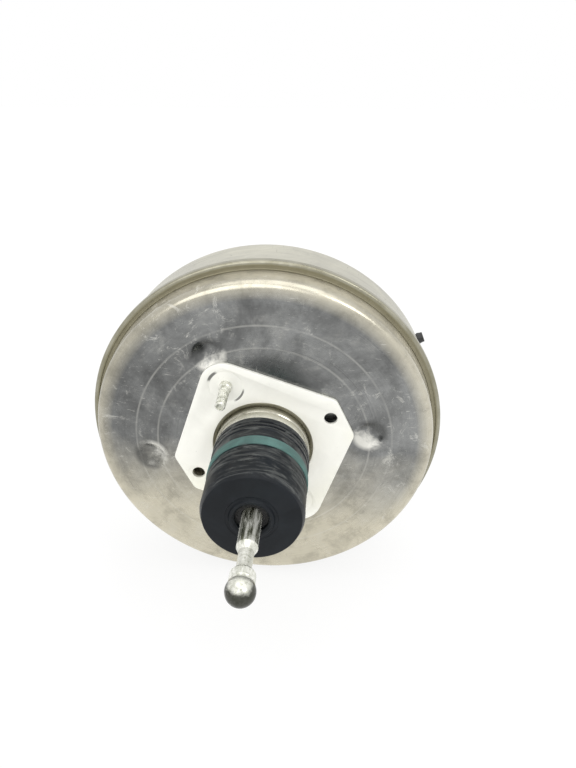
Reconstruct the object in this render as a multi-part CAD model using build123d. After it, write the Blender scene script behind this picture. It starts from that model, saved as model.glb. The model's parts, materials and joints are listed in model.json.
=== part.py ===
from build123d import *
import math
import os

# Vacuum brake booster, in millimetres. The booster's axis is Y: the pedal side is -Y, the engine side
# is +Y, and +Z is up. The origin is the centre of the face that seats on the bulkhead. A turned section
# is a list of (radius, y) corners, and an angle round the axis is counted from +X towards +Z.

# Fits
RUNNING_FIT = 0.05  # radial play of a guided shaft
CLEARANCE = 0.3  # free space between pieces that move past each other
HOLE_PLAY = 0.1  # radial play of a piece that sits still in a hole

# Pressed shells
SHEET = 1.5
RIM_R = 145.0  # overall radius, over the rolled rim
RIM_Y = 28.0  # pedal side of the rolled rim
RIM_WIDTH = 8.5
RIM_HEM = 3.7  # radial reach of the hem behind the flange
RIM_BEND = 1.5
REAR_WALL_INSET = 8.6  # from the rim in to the wall
REAR_WALL_TAPER = 1.6
REAR_SHOULDER = 9.0
FACE_STEP = 3.6
FACE_LEDGE = 33.0  # from the wall in to the step of the face
FACE_STEP_WIDTH = 7.8
FRONT_WALL_INSET = 4.0
FRONT_BEAD = 1.0  # the wall is this much wider next to the rim
FRONT_BEAD_LENGTH = 18.0
FRONT_LEDGE_Y = 91.0
FRONT_LEDGE = 43.0
FRONT_SHOULDER = 8.0
FRONT_FACE_R = 66.0
FRONT_FACE_Y = 112.0  # face that takes the master cylinder
SPIGOT_HOLE_R = 21.5

# Dents that stiffen the rear face: distance from the step of the face, and angle
DENTS = ((14.4, 117.3), (9.4, 188.6), (17.1, 7.6))
DENT_DEPTH = 4.5
DENT_BOWL_R = 18.0
DENT_LIP_R = 6.0
DENT_LIP_RISE = 0.15

# Mounting plate, and the bolt circle shared by its two studs and two open holes
PLATE_T = 3.0
PLATE_CLOCK = -19.5
PLATE_HALF_U = 64.5
PLATE_HALF_V = 60.5
PLATE_CUT = 24.5
PLATE_CUT_ROUND = 7.0
PLATE_ROUND = 19.0
PLATE_NECK_GAP = 2.8  # round the neck of the shell
BOLT_PCD = 120.8
HOLE_CLOCK = 27.3
STUD_CLOCK = 117.3
BOLT_HOLE_R = 5.15
PAD_R = 14.3
PAD_DEPTH = 0.8
CUP_R = 7.5  # blind cup in the shell behind each open hole
CUP_DEPTH = 6.0

# Studs
STUD_R = 4.0
STUD_LENGTH = 31.0
STUD_COLLAR_R = 4.8
STUD_COLLAR = 3.5
STUD_HEAD_R = 9.0
STUD_HEAD = 4.0
STUD_CHAMFER = 0.8
STUD_DIMPLE_R = 2.4
STUD_DIMPLE = 1.5
FRONT_STUD_PCD = 80.0
FRONT_STUD_LENGTH = 24.0
FRONT_STUD_COLLAR = 1.5

# Neck of the rear shell and what guides the valve body in it
SEAL_WIDTH = 6.75  # between the valve body and the neck
NECK_STEP = 2.5
NECK_FOOT = 0.8
NECK_ROOT = 2.8
NECK_MID_Y = -8.0
NECK_SHOULDER_Y = -17.0
NECK_END_Y = -31.0
NECK_LIP = 5.5
BUSH_LENGTH = 6.0
SEAL_LIP = 3.0
RETAINER_T = 2.2

# Valve body, which is the moving hub
STROKE = 34.0
BODY_TAIL_Y = -86.0
BODY_BORE_R = 19.0
BODY_WALL = 7.0
SEAT_FLOOR_Y = -36.0  # end of the rear bore
VACUUM_SEAT_R = 14.0
VACUUM_SEAT_W = 1.5
VACUUM_SEAT_H = 2.2
PORT_R = 1.7
PORT_OFFSET = 2.4  # from the bore out to the ports
PORT_FAN = 30.0
GALLERY = 4.0
HUB_R = 40.0
HUB_Y = 17.0
HUB_LENGTH = 7.0
BOSS_WALL = 3.0
POCKET_R = 11.0
POCKET_Y = 26.0

# Diaphragm and its support plate
RUBBER = 1.6
BEAD_GROOVE = 2.0
BEAD_WIDTH = 4.5
BEAD_HEIGHT = 4.0
ROLL_GAP = 0.7
ROLL_BEND = 1.6
DISC_SHEET = 1.5
DISC_GAP = 6.6  # between the plate's edge and the diaphragm's rolled wall
DISC_CURL = 6.0
DISC_BEND = 1.5
DISC_BEAD_INSET = 46.0
DISC_BEAD_W = 14.0
DISC_BEAD_H = 4.0

# Control valve
VALVE_TRAVEL = 1.6
SEAT_LEAD = 0.8  # poppet to vacuum seat at rest
PLUNGER_R = 8.0
PLUNGER_SHOULDER_Y = 10.0
PLUNGER_NOSE_R = 5.9
PLUNGER_NOSE_GAP = 0.4  # left between nose and reaction disc at full travel
PLUNGER_FLANGE_R = 11.5
PLUNGER_FLANGE = 2.0
KEY_T = 3.0
KEY_HALF_W = 9.5
KEY_STAND = 4.0  # out of the valve body at each end
KEY_GROOVE_R = 5.5
KEY_GROOVE_PLAY = 0.15
POPPET_R = 17.5
POPPET_HOLE_R = 9.5
POPPET_T = 3.0
POPPET_SKIRT = 2.0
POPPET_LENGTH = 16.0
POPPET_BEAD = 3.0
POPPET_SLEEVE_R = 12.0
POPPET_SLEEVE_T = 1.2
POPPET_SLEEVE = 8.0
POPPET_FLANGE = 2.0

# Input rod, which ends in a ball for the pedal
SOCKET_Y = -30.0
SOCKET_BALL_R = 5.0
SWING = 4.0  # degrees each way
ROD_WAIST_R = 3.2
ROD_WAIST_END_Y = -43.0
ROD_FRONT_R = 5.0
ROD_R = 7.3
ROD_SHOULDER_Y = -70.0
ROD_TAPER_Y = -117.0
ROD_TAPER = 5.7
ROD_NECK_R = 4.6
ROD_COLLAR_Y = -138.0
ROD_COLLAR_R = 8.4
ROD_COLLAR_CONE = 3.5
PEDAL_BALL_R = 9.7
PEDAL_BALL_Y = -155.7
WASHER_R = 15.5
WASHER_T = 2.0

# Air filter
FILTER_T = 6.5
SILENCER_T = 5.5

# Dust boot
BOOT_CUFF = 2.5
BOOT_WALL = 2.4
BOOT_FACE_T = 3.6
BOOT_BEVEL_R = 2.0
BOOT_BEVEL = 5.3
BOOT_HOLE_R = 12.0
BOOT_LIP_R = 15.5
BOOT_LIP = 1.2
BOOT_COLLAR = 8.0
BOOT_RINGS = 3
BOOT_RING_H = 0.7
BOOT_RIBS = 3
BOOT_RIB_H = 0.5
BOOT_RIB_PITCH = 5.5
RIDGE_FLAT = 0.3  # half width of a ridge's crest, as a share of its pitch
RIDGE_FOOT = 0.45
BAND_Y = -42.0
BAND_W = 10.0
BAND_T = 0.8

# Output side
REACTION_T = 6.0
OUTPUT_R = 6.0
OUTPUT_HEAD = 6.0
OUTPUT_TIP_R = 4.0
OUTPUT_TIP = 13.5  # length ahead of the front face, under its chamfer
OUTPUT_TIP_CHAMFER = 1.5
CAP_SHEET = 1.2
CAP_FLANGE_R = 19.5
CAP_HOLE_R = 7.5
BRACE_T = 3.0
BRACE_R = 54.0
SPIGOT_CUP_R = 20.5
SPIGOT_CUP_DEPTH = 13.0
FRONT_SEAL_R = 9.0
FRONT_SEAL_LIP = 3.0
FRONT_SEAL_LIP_T = 3.2

# Springs, with flat sides on the wire
SPRING_SIDES = 6
MAIN_WIRE_R = 2.0
MAIN_COIL_R = 27.0
MAIN_TURNS = 5
ROD_WIRE_R = 0.8
ROD_COIL_R = 13.8
ROD_TURNS = 3
POPPET_WIRE_R = 0.45
POPPET_COIL_R = 14.35
POPPET_TURNS = 3
CHECK_WIRE_R = 0.35
CHECK_COIL_R = 3.6
CHECK_TURNS = 3

# Vacuum check valve on the front ledge
CHECK_INSET = 26.5  # from the front wall in to the valve's axis
CHECK_CLOCK = 22.5
CHECK_STEM_R = 6.5
CHECK_STEM = 7.0
CHECK_HEAD_R = 9.0
CHECK_HEAD = 13.0
CHECK_FLOOR = 2.0
CHECK_PORT_R = 3.0
CHECK_CHAMBER_R = 6.2
CHECK_DISC_R = 5.6
CHECK_DISC_T = 1.6
CHECK_GUIDE_R = 2.2
CHECK_GUIDE = 7.0
CHECK_TRAVEL = 1.5
CHECK_CAP = 2.0
CHECK_PLUG = 1.5
GROMMET_R = 12.5
GROMMET_LIP = 2.4
GROMMET_WAIST_R = 9.5
HOSE_Y = 98.0
HOSE_R = 4.4
HOSE_BORE_R = 2.5
HOSE_BARB_R = 5.1
HOSE_BARBS = 3
HOSE_BARB_PITCH = 5.0
HOSE_REACH = 31.5  # from the valve's axis

# Places that follow from the sizes above
ledge_y = PLATE_T + FACE_STEP
flange_y = RIM_Y + SHEET
flange_r = RIM_R - RIM_BEND
rear_wall_r = RIM_R - REAR_WALL_INSET
face_step_r = rear_wall_r - FACE_LEDGE
front_wall_r = RIM_R - FRONT_WALL_INSET
front_ledge_r = front_wall_r - FRONT_LEDGE
rim_bead_y = flange_y + SHEET
rim_front_y = RIM_Y + RIM_WIDTH
body_r = BODY_BORE_R + BODY_WALL
guide_r = body_r + RUNNING_FIT
neck_bore_r = guide_r + SEAL_WIDTH
neck_end_r = neck_bore_r + SHEET
neck_mid_r = neck_end_r + NECK_STEP
neck_r = neck_mid_r + NECK_FOOT
boot_r = neck_end_r + BOOT_CUFF
neck_floor_y = NECK_END_Y + SHEET
seal_y = neck_floor_y + BUSH_LENGTH
retainer_y = NECK_SHOULDER_Y + SHEET
key_y = retainer_y + RETAINER_T + CLEARANCE
hub_front_y = HUB_Y + HUB_LENGTH
disc_y = HUB_Y - DISC_SHEET
boss_r = POCKET_R + BOSS_WALL
port_circle_r = BODY_BORE_R + PORT_OFFSET
gallery_r = port_circle_r + PORT_R + CLEARANCE
key_reach = body_r + KEY_STAND
head_y = POCKET_Y + REACTION_T
boss_end_y = head_y + OUTPUT_HEAD
roll_r = rear_wall_r - SHEET - ROLL_GAP
disc_r = roll_r - RUBBER - DISC_GAP
poppet_y = SEAT_FLOOR_Y - VACUUM_SEAT_H - SEAT_LEAD
poppet_end_y = poppet_y - POPPET_LENGTH
poppet_flange_y = poppet_end_y - POPPET_FLANGE
filter_y = BODY_TAIL_Y + FILTER_T
boot_end_y = BODY_TAIL_Y - BOOT_FACE_T
front_inner_y = FRONT_FACE_Y - SHEET
brace_y = front_inner_y - BRACE_T
cup_floor_y = front_inner_y - SPIGOT_CUP_DEPTH
check_r = front_wall_r - CHECK_INSET
check_y = FRONT_LEDGE_Y + GROMMET_LIP
check_seat_y = check_y + CHECK_FLOOR
check_top_y = check_y + CHECK_HEAD


def turned(*corners):
    """Solid of revolution about the Y axis from a closed section."""
    return revolve(make_face(Polyline(*corners, close=True)), Axis.Y)


def ring(outer_r, inner_r, y_from, y_to):
    return turned((inner_r, y_from), (outer_r, y_from), (outer_r, y_to), (inner_r, y_to))


def rod(radius, y_from, y_to):
    return turned((0, y_from), (radius, y_from), (radius, y_to), (0, y_to))


def ball(radius, y):
    return Pos(0, y, 0) * Sphere(radius)


def pressed(thickness, *corners):
    """Pressed sheet spun about Y. Each corner of its outside line is (radius, y, bend)."""
    places = [Vector(radius, y) for radius, y, _ in corners]
    ways = [(end - start).normalized() for start, end in zip(places, places[1:])]
    sides = [Vector(-way.Y, way.X) for way in ways]
    inside = [places[0] + sides[0] * thickness]
    inside_bends = []
    for place, before, after, (_, _, bend) in zip(places[1:], sides, sides[1:], corners[1:]):
        inside.append(place + (before + after) * (thickness / (1 + before.dot(after))))
        turns_in = before.cross(after).Z > 0
        inside_bends.append(bend and (bend - thickness if turns_in else bend + thickness))
    inside.append(places[-1] + sides[-1] * thickness)
    outside_bends = [bend for _, _, bend in corners[1:-1]]
    outer = FilletPolyline(*places, radius=outside_bends)
    inner = FilletPolyline(*inside, radius=inside_bends)
    ends = Line(places[0], inside[0]) + Line(places[-1], inside[-1])
    return revolve(make_face(outer + inner + ends), Axis.Y)


def at(radius, angle):
    """Shift from the axis to a place on a circle round it."""
    turn = math.radians(angle)
    return Pos(radius * math.cos(turn), 0, radius * math.sin(turn))


def both(angle):
    """Two opposite angles round the axis."""
    return (angle, angle + 180)


def coil(wire_r, coil_r, turns, y_from, y_to):
    """Helical spring about the Y axis that fills the space between its two seats."""
    rise = y_to - y_from - 2 * wire_r
    line = Helix(rise / turns, rise, coil_r, center=(0, y_from + wire_r, 0), direction=(0, 1, 0))
    wire = Plane(origin=line @ 0, z_dir=line % 0) * RegularPolygon(wire_r, SPRING_SIDES)
    return sweep(wire, path=line, is_frenet=True)


def ridge(y, pitch, base_r, height):
    """Four corners of a raised ring, from its engine side to its pedal side."""
    crest, foot = RIDGE_FLAT * pitch, RIDGE_FOOT * pitch
    crest_r = base_r + height
    return [(base_r, y + foot), (crest_r, y + crest), (crest_r, y - crest), (base_r, y - foot)]


def dent_metal(face_y, bowl_y):
    """Bowl of sheet behind a dent."""
    back_r = DENT_BOWL_R + SHEET
    base_y = face_y + SHEET / 2
    base_x = math.sqrt(back_r**2 - (base_y - bowl_y) ** 2)
    back = RadiusArc((0, bowl_y + back_r), (base_x, base_y), back_r)
    base = Polyline((base_x, base_y), (0, base_y), (0, bowl_y + back_r))
    return revolve(make_face(back + base), Axis.Y)


def dent_hollow(face_y, bowl_y):
    """Hollow of a dent: a bowl that meets the face in a rounded lip."""
    lip_y = face_y - DENT_LIP_RISE + DENT_LIP_R
    reach = DENT_BOWL_R + DENT_LIP_R
    lip_x = math.sqrt(reach**2 - (lip_y - bowl_y) ** 2)
    meet = (lip_x * DENT_BOWL_R / reach, bowl_y + (lip_y - bowl_y) * DENT_BOWL_R / reach)
    crown = (lip_x, face_y - DENT_LIP_RISE)
    bottom = (0, bowl_y + DENT_BOWL_R)
    bowl = RadiusArc(bottom, meet, DENT_BOWL_R)
    lip = RadiusArc(meet, crown, -DENT_LIP_R)
    mouth = Polyline(crown, (lip_x, face_y - SHEET), (0, face_y - SHEET), bottom)
    return revolve(make_face(bowl + lip + mouth), Axis.Y)


def stud(grip, collar, length):
    """Stud that points along +Y from a seat at y = 0, with its head a grip's length behind."""
    return turned(
        (0, -grip - STUD_HEAD),
        (STUD_HEAD_R, -grip - STUD_HEAD),
        (STUD_HEAD_R, -grip),
        (STUD_COLLAR_R, -grip),
        (STUD_COLLAR_R, collar),
        (STUD_R, collar + STUD_COLLAR_R - STUD_R),
        (STUD_R, length - STUD_CHAMFER),
        (STUD_R - STUD_CHAMFER, length),
        (STUD_DIMPLE_R, length),
        (0, length - STUD_DIMPLE),
    )


def rear_shell():
    """Rear shell: stepped neck, stepped face, dents, and blind cups behind the open holes."""
    shell = pressed(
        SHEET,
        (neck_end_r - NECK_LIP, NECK_END_Y, 0),
        (neck_end_r, NECK_END_Y, 0),
        (neck_end_r, NECK_SHOULDER_Y, 0),
        (neck_mid_r, NECK_SHOULDER_Y, 0),
        (neck_mid_r, NECK_MID_Y, 0),
        (neck_r, NECK_MID_Y + NECK_FOOT, 0),
        (neck_r, PLATE_T, NECK_ROOT),
        (face_step_r, PLATE_T, 0),
        (face_step_r + FACE_STEP_WIDTH, ledge_y, 0),
        (rear_wall_r, ledge_y, REAR_SHOULDER),
        (rear_wall_r + REAR_WALL_TAPER, flange_y, 0),
        (flange_r, flange_y, 0),
    )
    bowl_y = PLATE_T + DENT_DEPTH - DENT_BOWL_R
    for inset, angle in DENTS:
        shell += at(face_step_r - inset, angle) * dent_metal(PLATE_T, bowl_y)
    for inset, angle in DENTS:
        shell -= at(face_step_r - inset, angle) * dent_hollow(PLATE_T, bowl_y)
    cup_end_y = PLATE_T + CUP_DEPTH
    for angle in both(HOLE_CLOCK):
        shell += at(BOLT_PCD / 2, angle) * rod(CUP_R + SHEET, PLATE_T + SHEET / 2, cup_end_y + SHEET)
        shell -= at(BOLT_PCD / 2, angle) * rod(CUP_R, PLATE_T, cup_end_y)
    for angle in both(STUD_CLOCK):
        shell -= at(BOLT_PCD / 2, angle) * rod(STUD_COLLAR_R + HOLE_PLAY, PLATE_T, PLATE_T + SHEET)
    return shell


def front_shell():
    """Front shell: rolled rim, deep wall, ledge for the check valve, and the master cylinder's face."""
    bead_r = front_wall_r + FRONT_BEAD
    bead_end_y = rim_front_y + FRONT_BEAD_LENGTH
    shell = pressed(
        SHEET,
        (RIM_R - RIM_HEM, RIM_Y, 0),
        (RIM_R, RIM_Y, RIM_BEND),
        (RIM_R, rim_front_y, RIM_BEND),
        (bead_r, rim_front_y, 0),
        (bead_r, bead_end_y, 0),
        (front_wall_r, bead_end_y + FRONT_BEAD, 0),
        (front_wall_r, FRONT_LEDGE_Y, FRONT_SHOULDER),
        (front_ledge_r, FRONT_LEDGE_Y, 0),
        (FRONT_FACE_R, FRONT_FACE_Y, FRONT_SHOULDER),
        (SPIGOT_HOLE_R, FRONT_FACE_Y, 0),
    )
    shell -= at(check_r, CHECK_CLOCK) * rod(GROMMET_WAIST_R, FRONT_LEDGE_Y - SHEET, FRONT_LEDGE_Y)
    for angle in both(PLATE_CLOCK):
        shell -= at(FRONT_STUD_PCD / 2, angle) * rod(STUD_COLLAR_R + HOLE_PLAY, front_inner_y, FRONT_FACE_Y)
    return shell


def mounting_plate():
    """Square plate with two cut corners, round holes, and a shallow seat round each stud."""
    outline = FilletPolyline(
        (PLATE_HALF_U, PLATE_HALF_V - PLATE_CUT),
        (PLATE_HALF_U - PLATE_CUT, PLATE_HALF_V),
        (-PLATE_HALF_U, PLATE_HALF_V),
        (-PLATE_HALF_U, PLATE_CUT - PLATE_HALF_V),
        (PLATE_CUT - PLATE_HALF_U, -PLATE_HALF_V),
        (PLATE_HALF_U, -PLATE_HALF_V),
        radius=2 * [PLATE_CUT_ROUND, PLATE_CUT_ROUND, PLATE_ROUND],
        close=True,
    )
    turn = math.radians(PLATE_CLOCK)
    seat = Plane(origin=(0, PLATE_T, 0), x_dir=(math.cos(turn), 0, math.sin(turn)), z_dir=(0, -1, 0))
    plate = extrude(seat * make_face(outline), PLATE_T)
    plate -= rod(neck_r + PLATE_NECK_GAP, 0, PLATE_T)
    for angle in both(HOLE_CLOCK):
        plate -= at(BOLT_PCD / 2, angle) * rod(BOLT_HOLE_R, 0, PLATE_T)
    pad = turned((0, 0), (PAD_R, 0), (PAD_R - PAD_DEPTH, PAD_DEPTH), (0, PAD_DEPTH))
    for angle in both(STUD_CLOCK):
        plate -= at(BOLT_PCD / 2, angle) * pad
        plate -= at(BOLT_PCD / 2, angle) * rod(STUD_COLLAR_R + HOLE_PLAY, 0, PLATE_T)
    return plate


def mounting_studs():
    one = Rot(180, 0, 0) * stud(PLATE_T + SHEET, STUD_COLLAR, STUD_LENGTH)
    return Compound([at(BOLT_PCD / 2, angle) * one for angle in both(STUD_CLOCK)])


def master_cylinder_studs():
    one = Pos(0, FRONT_FACE_Y, 0) * stud(BRACE_T + SHEET, FRONT_STUD_COLLAR, FRONT_STUD_LENGTH)
    return Compound([at(FRONT_STUD_PCD / 2, angle) * one for angle in both(PLATE_CLOCK)])


def guide_bush():
    return ring(neck_bore_r, guide_r, neck_floor_y, seal_y)


def rear_seal():
    """Seal ring in the neck, with a lip on the tube and a hollow behind the lip."""
    lip_r = guide_r + SEAL_LIP
    return turned(
        (guide_r, seal_y),
        (neck_bore_r, seal_y),
        (neck_bore_r, retainer_y),
        (lip_r + SEAL_LIP / 2, retainer_y),
        (lip_r, seal_y + SEAL_LIP),
        (guide_r + SEAL_LIP / 3, retainer_y),
        (guide_r, retainer_y),
    )


def seal_retainer():
    return ring(neck_mid_r - SHEET, body_r + 2 * CLEARANCE, retainer_y, retainer_y + RETAINER_T)


def valve_body():
    """Moulded hub and tube: valve bore, seats, ports, key slot, and the pocket for the output rod."""
    body = turned(
        (0, BODY_TAIL_Y),
        (body_r, BODY_TAIL_Y),
        (body_r, disc_y - BEAD_WIDTH),
        (body_r - BEAD_GROOVE, disc_y - BEAD_WIDTH),
        (body_r - BEAD_GROOVE, disc_y),
        (body_r, disc_y),
        (body_r, HUB_Y),
        (HUB_R, HUB_Y),
        (HUB_R, hub_front_y),
        (boss_r, hub_front_y),
        (boss_r, boss_end_y),
        (0, boss_end_y),
    )
    flange_room_y = poppet_y + PLUNGER_FLANGE + VALVE_TRAVEL + CLEARANCE
    nose_bore_y = PLUNGER_SHOULDER_Y + VALVE_TRAVEL + CLEARANCE
    body -= rod(BODY_BORE_R, BODY_TAIL_Y, SEAT_FLOOR_Y)
    body -= ring(gallery_r, BODY_BORE_R - 1, SEAT_FLOOR_Y - GALLERY, SEAT_FLOOR_Y)
    body += ring(VACUUM_SEAT_R + VACUUM_SEAT_W, VACUUM_SEAT_R, SEAT_FLOOR_Y - VACUUM_SEAT_H, SEAT_FLOOR_Y)
    body -= rod(PLUNGER_FLANGE_R + 2 * CLEARANCE, SEAT_FLOOR_Y, flange_room_y)
    body -= rod(PLUNGER_R + RUNNING_FIT, SEAT_FLOOR_Y, nose_bore_y)
    body -= rod(PLUNGER_NOSE_R + RUNNING_FIT, nose_bore_y, POCKET_Y)
    body -= rod(POCKET_R, POCKET_Y, boss_end_y)
    port = rod(PORT_R, SEAT_FLOOR_Y - PORT_R, hub_front_y)
    for side in both(0):
        for fan in (-PORT_FAN, 0, PORT_FAN):
            body -= at(port_circle_r, side + fan) * port
    slot_y = (key_y - CLEARANCE, key_y + KEY_T + VALVE_TRAVEL + CLEARANCE)
    slot = Box(2 * (KEY_HALF_W + CLEARANCE), slot_y[1] - slot_y[0], 2 * key_reach)
    return body - Pos(0, sum(slot_y) / 2, 0) * slot


def valve_plunger():
    """Plunger: air seat on its flange, ball socket in its tail, and the groove for the stop key."""
    nose_y = POCKET_Y - VALVE_TRAVEL - PLUNGER_NOSE_GAP
    mouth_r = ROD_WAIST_R + CLEARANCE + (SOCKET_Y - poppet_y) * math.tan(math.radians(SWING))
    plunger = turned(
        (0, poppet_y),
        (PLUNGER_FLANGE_R, poppet_y),
        (PLUNGER_FLANGE_R, poppet_y + PLUNGER_FLANGE),
        (PLUNGER_R, poppet_y + PLUNGER_FLANGE),
        (PLUNGER_R, key_y - KEY_GROOVE_PLAY),
        (KEY_GROOVE_R, key_y - KEY_GROOVE_PLAY),
        (KEY_GROOVE_R, key_y + KEY_T + KEY_GROOVE_PLAY),
        (PLUNGER_R, key_y + KEY_T + KEY_GROOVE_PLAY),
        (PLUNGER_R, PLUNGER_SHOULDER_Y),
        (PLUNGER_NOSE_R, PLUNGER_SHOULDER_Y),
        (PLUNGER_NOSE_R, nose_y),
        (0, nose_y),
    )
    plunger -= rod(mouth_r, poppet_y, SOCKET_Y)
    return plunger - ball(SOCKET_BALL_R + RUNNING_FIT, SOCKET_Y)


def stop_key():
    """Flat fork pushed across the valve body into the plunger's groove."""
    gap = 2 * (KEY_GROOVE_R + KEY_GROOVE_PLAY)
    fork = Box(2 * KEY_HALF_W, KEY_T, 2 * key_reach)
    fork -= Pos(0, 0, key_reach / 2) * Box(gap, KEY_T, key_reach)
    fork -= rod(gap / 2, -KEY_T / 2, KEY_T / 2)
    return Pos(0, key_y + KEY_T / 2, 0) * fork


def poppet_valve():
    """Rubber poppet: sealing face, flexible skirt, and the bead that is clamped in the bore."""
    skirt_r = POPPET_R - POPPET_SKIRT
    return turned(
        (POPPET_HOLE_R, poppet_y),
        (POPPET_R, poppet_y),
        (POPPET_R, poppet_end_y + POPPET_BEAD),
        (BODY_BORE_R, poppet_end_y + POPPET_BEAD),
        (BODY_BORE_R, poppet_end_y),
        (skirt_r, poppet_end_y),
        (skirt_r, poppet_y - POPPET_T),
        (POPPET_HOLE_R, poppet_y - POPPET_T),
    )


def poppet_retainer():
    sleeve_r = POPPET_SLEEVE_R + POPPET_SLEEVE_T
    return turned(
        (POPPET_SLEEVE_R, poppet_flange_y),
        (BODY_BORE_R, poppet_flange_y),
        (BODY_BORE_R, poppet_end_y),
        (sleeve_r, poppet_end_y),
        (sleeve_r, poppet_end_y + POPPET_SLEEVE),
        (POPPET_SLEEVE_R, poppet_end_y + POPPET_SLEEVE),
    )


def input_rod():
    """Pedal rod: socket ball, waist, shoulder, shank, neck, and the collar that carries the pedal ball."""
    collar_end_y = PEDAL_BALL_Y + math.sqrt(PEDAL_BALL_R**2 - ROD_COLLAR_R**2)
    shaft = turned(
        (0, SOCKET_Y),
        (ROD_WAIST_R, SOCKET_Y),
        (ROD_WAIST_R, ROD_WAIST_END_Y),
        (ROD_FRONT_R, ROD_WAIST_END_Y - ROD_FRONT_R + ROD_WAIST_R),
        (ROD_FRONT_R, ROD_SHOULDER_Y),
        (ROD_R, ROD_SHOULDER_Y),
        (ROD_R, ROD_TAPER_Y),
        (ROD_NECK_R, ROD_TAPER_Y - ROD_TAPER),
        (ROD_NECK_R, ROD_COLLAR_Y),
        ((ROD_NECK_R + ROD_COLLAR_R) / 2, ROD_COLLAR_Y),
        (ROD_COLLAR_R, ROD_COLLAR_Y - ROD_COLLAR_CONE),
        (ROD_COLLAR_R, collar_end_y),
        (0, collar_end_y),
    )
    return shaft + ball(SOCKET_BALL_R, SOCKET_Y) + ball(PEDAL_BALL_R, PEDAL_BALL_Y)


def rod_spring_seat():
    return ring(WASHER_R, ROD_FRONT_R, ROD_SHOULDER_Y, ROD_SHOULDER_Y + WASHER_T)


def dust_boot():
    """Boot: ringed cuff on the neck, ribbed wall, bevelled face, and a collar on the valve body's tail."""
    wall = [(neck_end_r, NECK_SHOULDER_Y), (boot_r, NECK_SHOULDER_Y)]
    pitch = (NECK_SHOULDER_Y - NECK_END_Y) / BOOT_RINGS
    for turn in range(BOOT_RINGS):
        wall += ridge(NECK_SHOULDER_Y - (turn + 0.5) * pitch, pitch, boot_r, BOOT_RING_H)
    for turn in range(BOOT_RIBS):
        rib_y = BAND_Y - BAND_W - (turn + 0.5) * BOOT_RIB_PITCH
        wall += ridge(rib_y, BOOT_RIB_PITCH, boot_r, BOOT_RIB_H)
    face = [
        (boot_r, boot_end_y + BOOT_BEVEL),
        (boot_r - BOOT_BEVEL_R, boot_end_y),
        (BOOT_LIP_R, boot_end_y),
        (BOOT_LIP_R, boot_end_y - BOOT_LIP),
        (BOOT_HOLE_R, boot_end_y - BOOT_LIP),
        (BOOT_HOLE_R, BODY_TAIL_Y),
    ]
    inside = [
        (body_r, BODY_TAIL_Y),
        (body_r, BODY_TAIL_Y + BOOT_COLLAR),
        (body_r + BOOT_WALL, BODY_TAIL_Y + BOOT_COLLAR),
        (body_r + BOOT_WALL, BODY_TAIL_Y),
        (boot_r - BOOT_WALL, BODY_TAIL_Y),
        (boot_r - BOOT_WALL, NECK_END_Y),
        (neck_end_r, NECK_END_Y),
    ]
    return turned(*wall, *face, *inside)


def boot_band():
    return ring(boot_r + BAND_T, boot_r, BAND_Y - BAND_W, BAND_Y)


def air_filter():
    return ring(BODY_BORE_R, ROD_R + CLEARANCE, BODY_TAIL_Y, filter_y)


def air_silencer():
    return ring(BODY_BORE_R, ROD_R + CLEARANCE, filter_y, filter_y + SILENCER_T)


def diaphragm():
    """Rolling diaphragm: bead in the valve body's groove, disc, rolled wall, and the bead in the rim."""
    skin_y = disc_y - RUBBER
    bead_r = body_r - BEAD_GROOVE
    roll_end_y = rim_bead_y + SHEET
    skin = pressed(RUBBER, (bead_r, skin_y, 0), (roll_r, skin_y, ROLL_BEND), (roll_r, roll_end_y, 0))
    inner_bead = ring(bead_r + BEAD_HEIGHT, bead_r, disc_y - BEAD_WIDTH, disc_y)
    rim_bead = ring(flange_r, roll_r - RUBBER, rim_bead_y, rim_front_y - SHEET)
    return skin + inner_bead + rim_bead


def diaphragm_plate():
    """Pressed plate behind the diaphragm, with a stiffening bead and a curled edge."""
    bead_r = disc_r - DISC_BEAD_INSET
    bead_end_r = bead_r + DISC_BEAD_W
    return pressed(
        DISC_SHEET,
        (body_r + HOLE_PLAY, disc_y, 0),
        (bead_r, disc_y, 0),
        (bead_r + DISC_BEAD_H, disc_y + DISC_BEAD_H, 0),
        (bead_end_r - DISC_BEAD_H, disc_y + DISC_BEAD_H, 0),
        (bead_end_r, disc_y, 0),
        (disc_r, disc_y, DISC_BEND),
        (disc_r, disc_y + DISC_CURL, 0),
    )


def reaction_disc():
    return rod(POCKET_R - HOLE_PLAY, POCKET_Y, head_y)


def output_rod():
    tip_y = FRONT_FACE_Y + OUTPUT_TIP
    return turned(
        (0, head_y),
        (POCKET_R - HOLE_PLAY, head_y),
        (POCKET_R - HOLE_PLAY, boss_end_y),
        (OUTPUT_R, boss_end_y),
        (OUTPUT_R, FRONT_FACE_Y - OUTPUT_R + OUTPUT_TIP_R),
        (OUTPUT_TIP_R, FRONT_FACE_Y),
        (OUTPUT_TIP_R, tip_y),
        (OUTPUT_TIP_R - OUTPUT_TIP_CHAMFER, tip_y + OUTPUT_TIP_CHAMFER),
        (0, tip_y + OUTPUT_TIP_CHAMFER),
    )


def output_rod_cap():
    """Sheet cap pressed on the boss, which keeps the output rod's head in its pocket."""
    cap_r = boss_r + CAP_SHEET
    return turned(
        (boss_r, hub_front_y),
        (CAP_FLANGE_R, hub_front_y),
        (CAP_FLANGE_R, hub_front_y + CAP_SHEET),
        (cap_r, hub_front_y + CAP_SHEET),
        (cap_r, boss_end_y + CAP_SHEET),
        (CAP_HOLE_R, boss_end_y + CAP_SHEET),
        (CAP_HOLE_R, boss_end_y),
        (boss_r, boss_end_y),
    )


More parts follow.
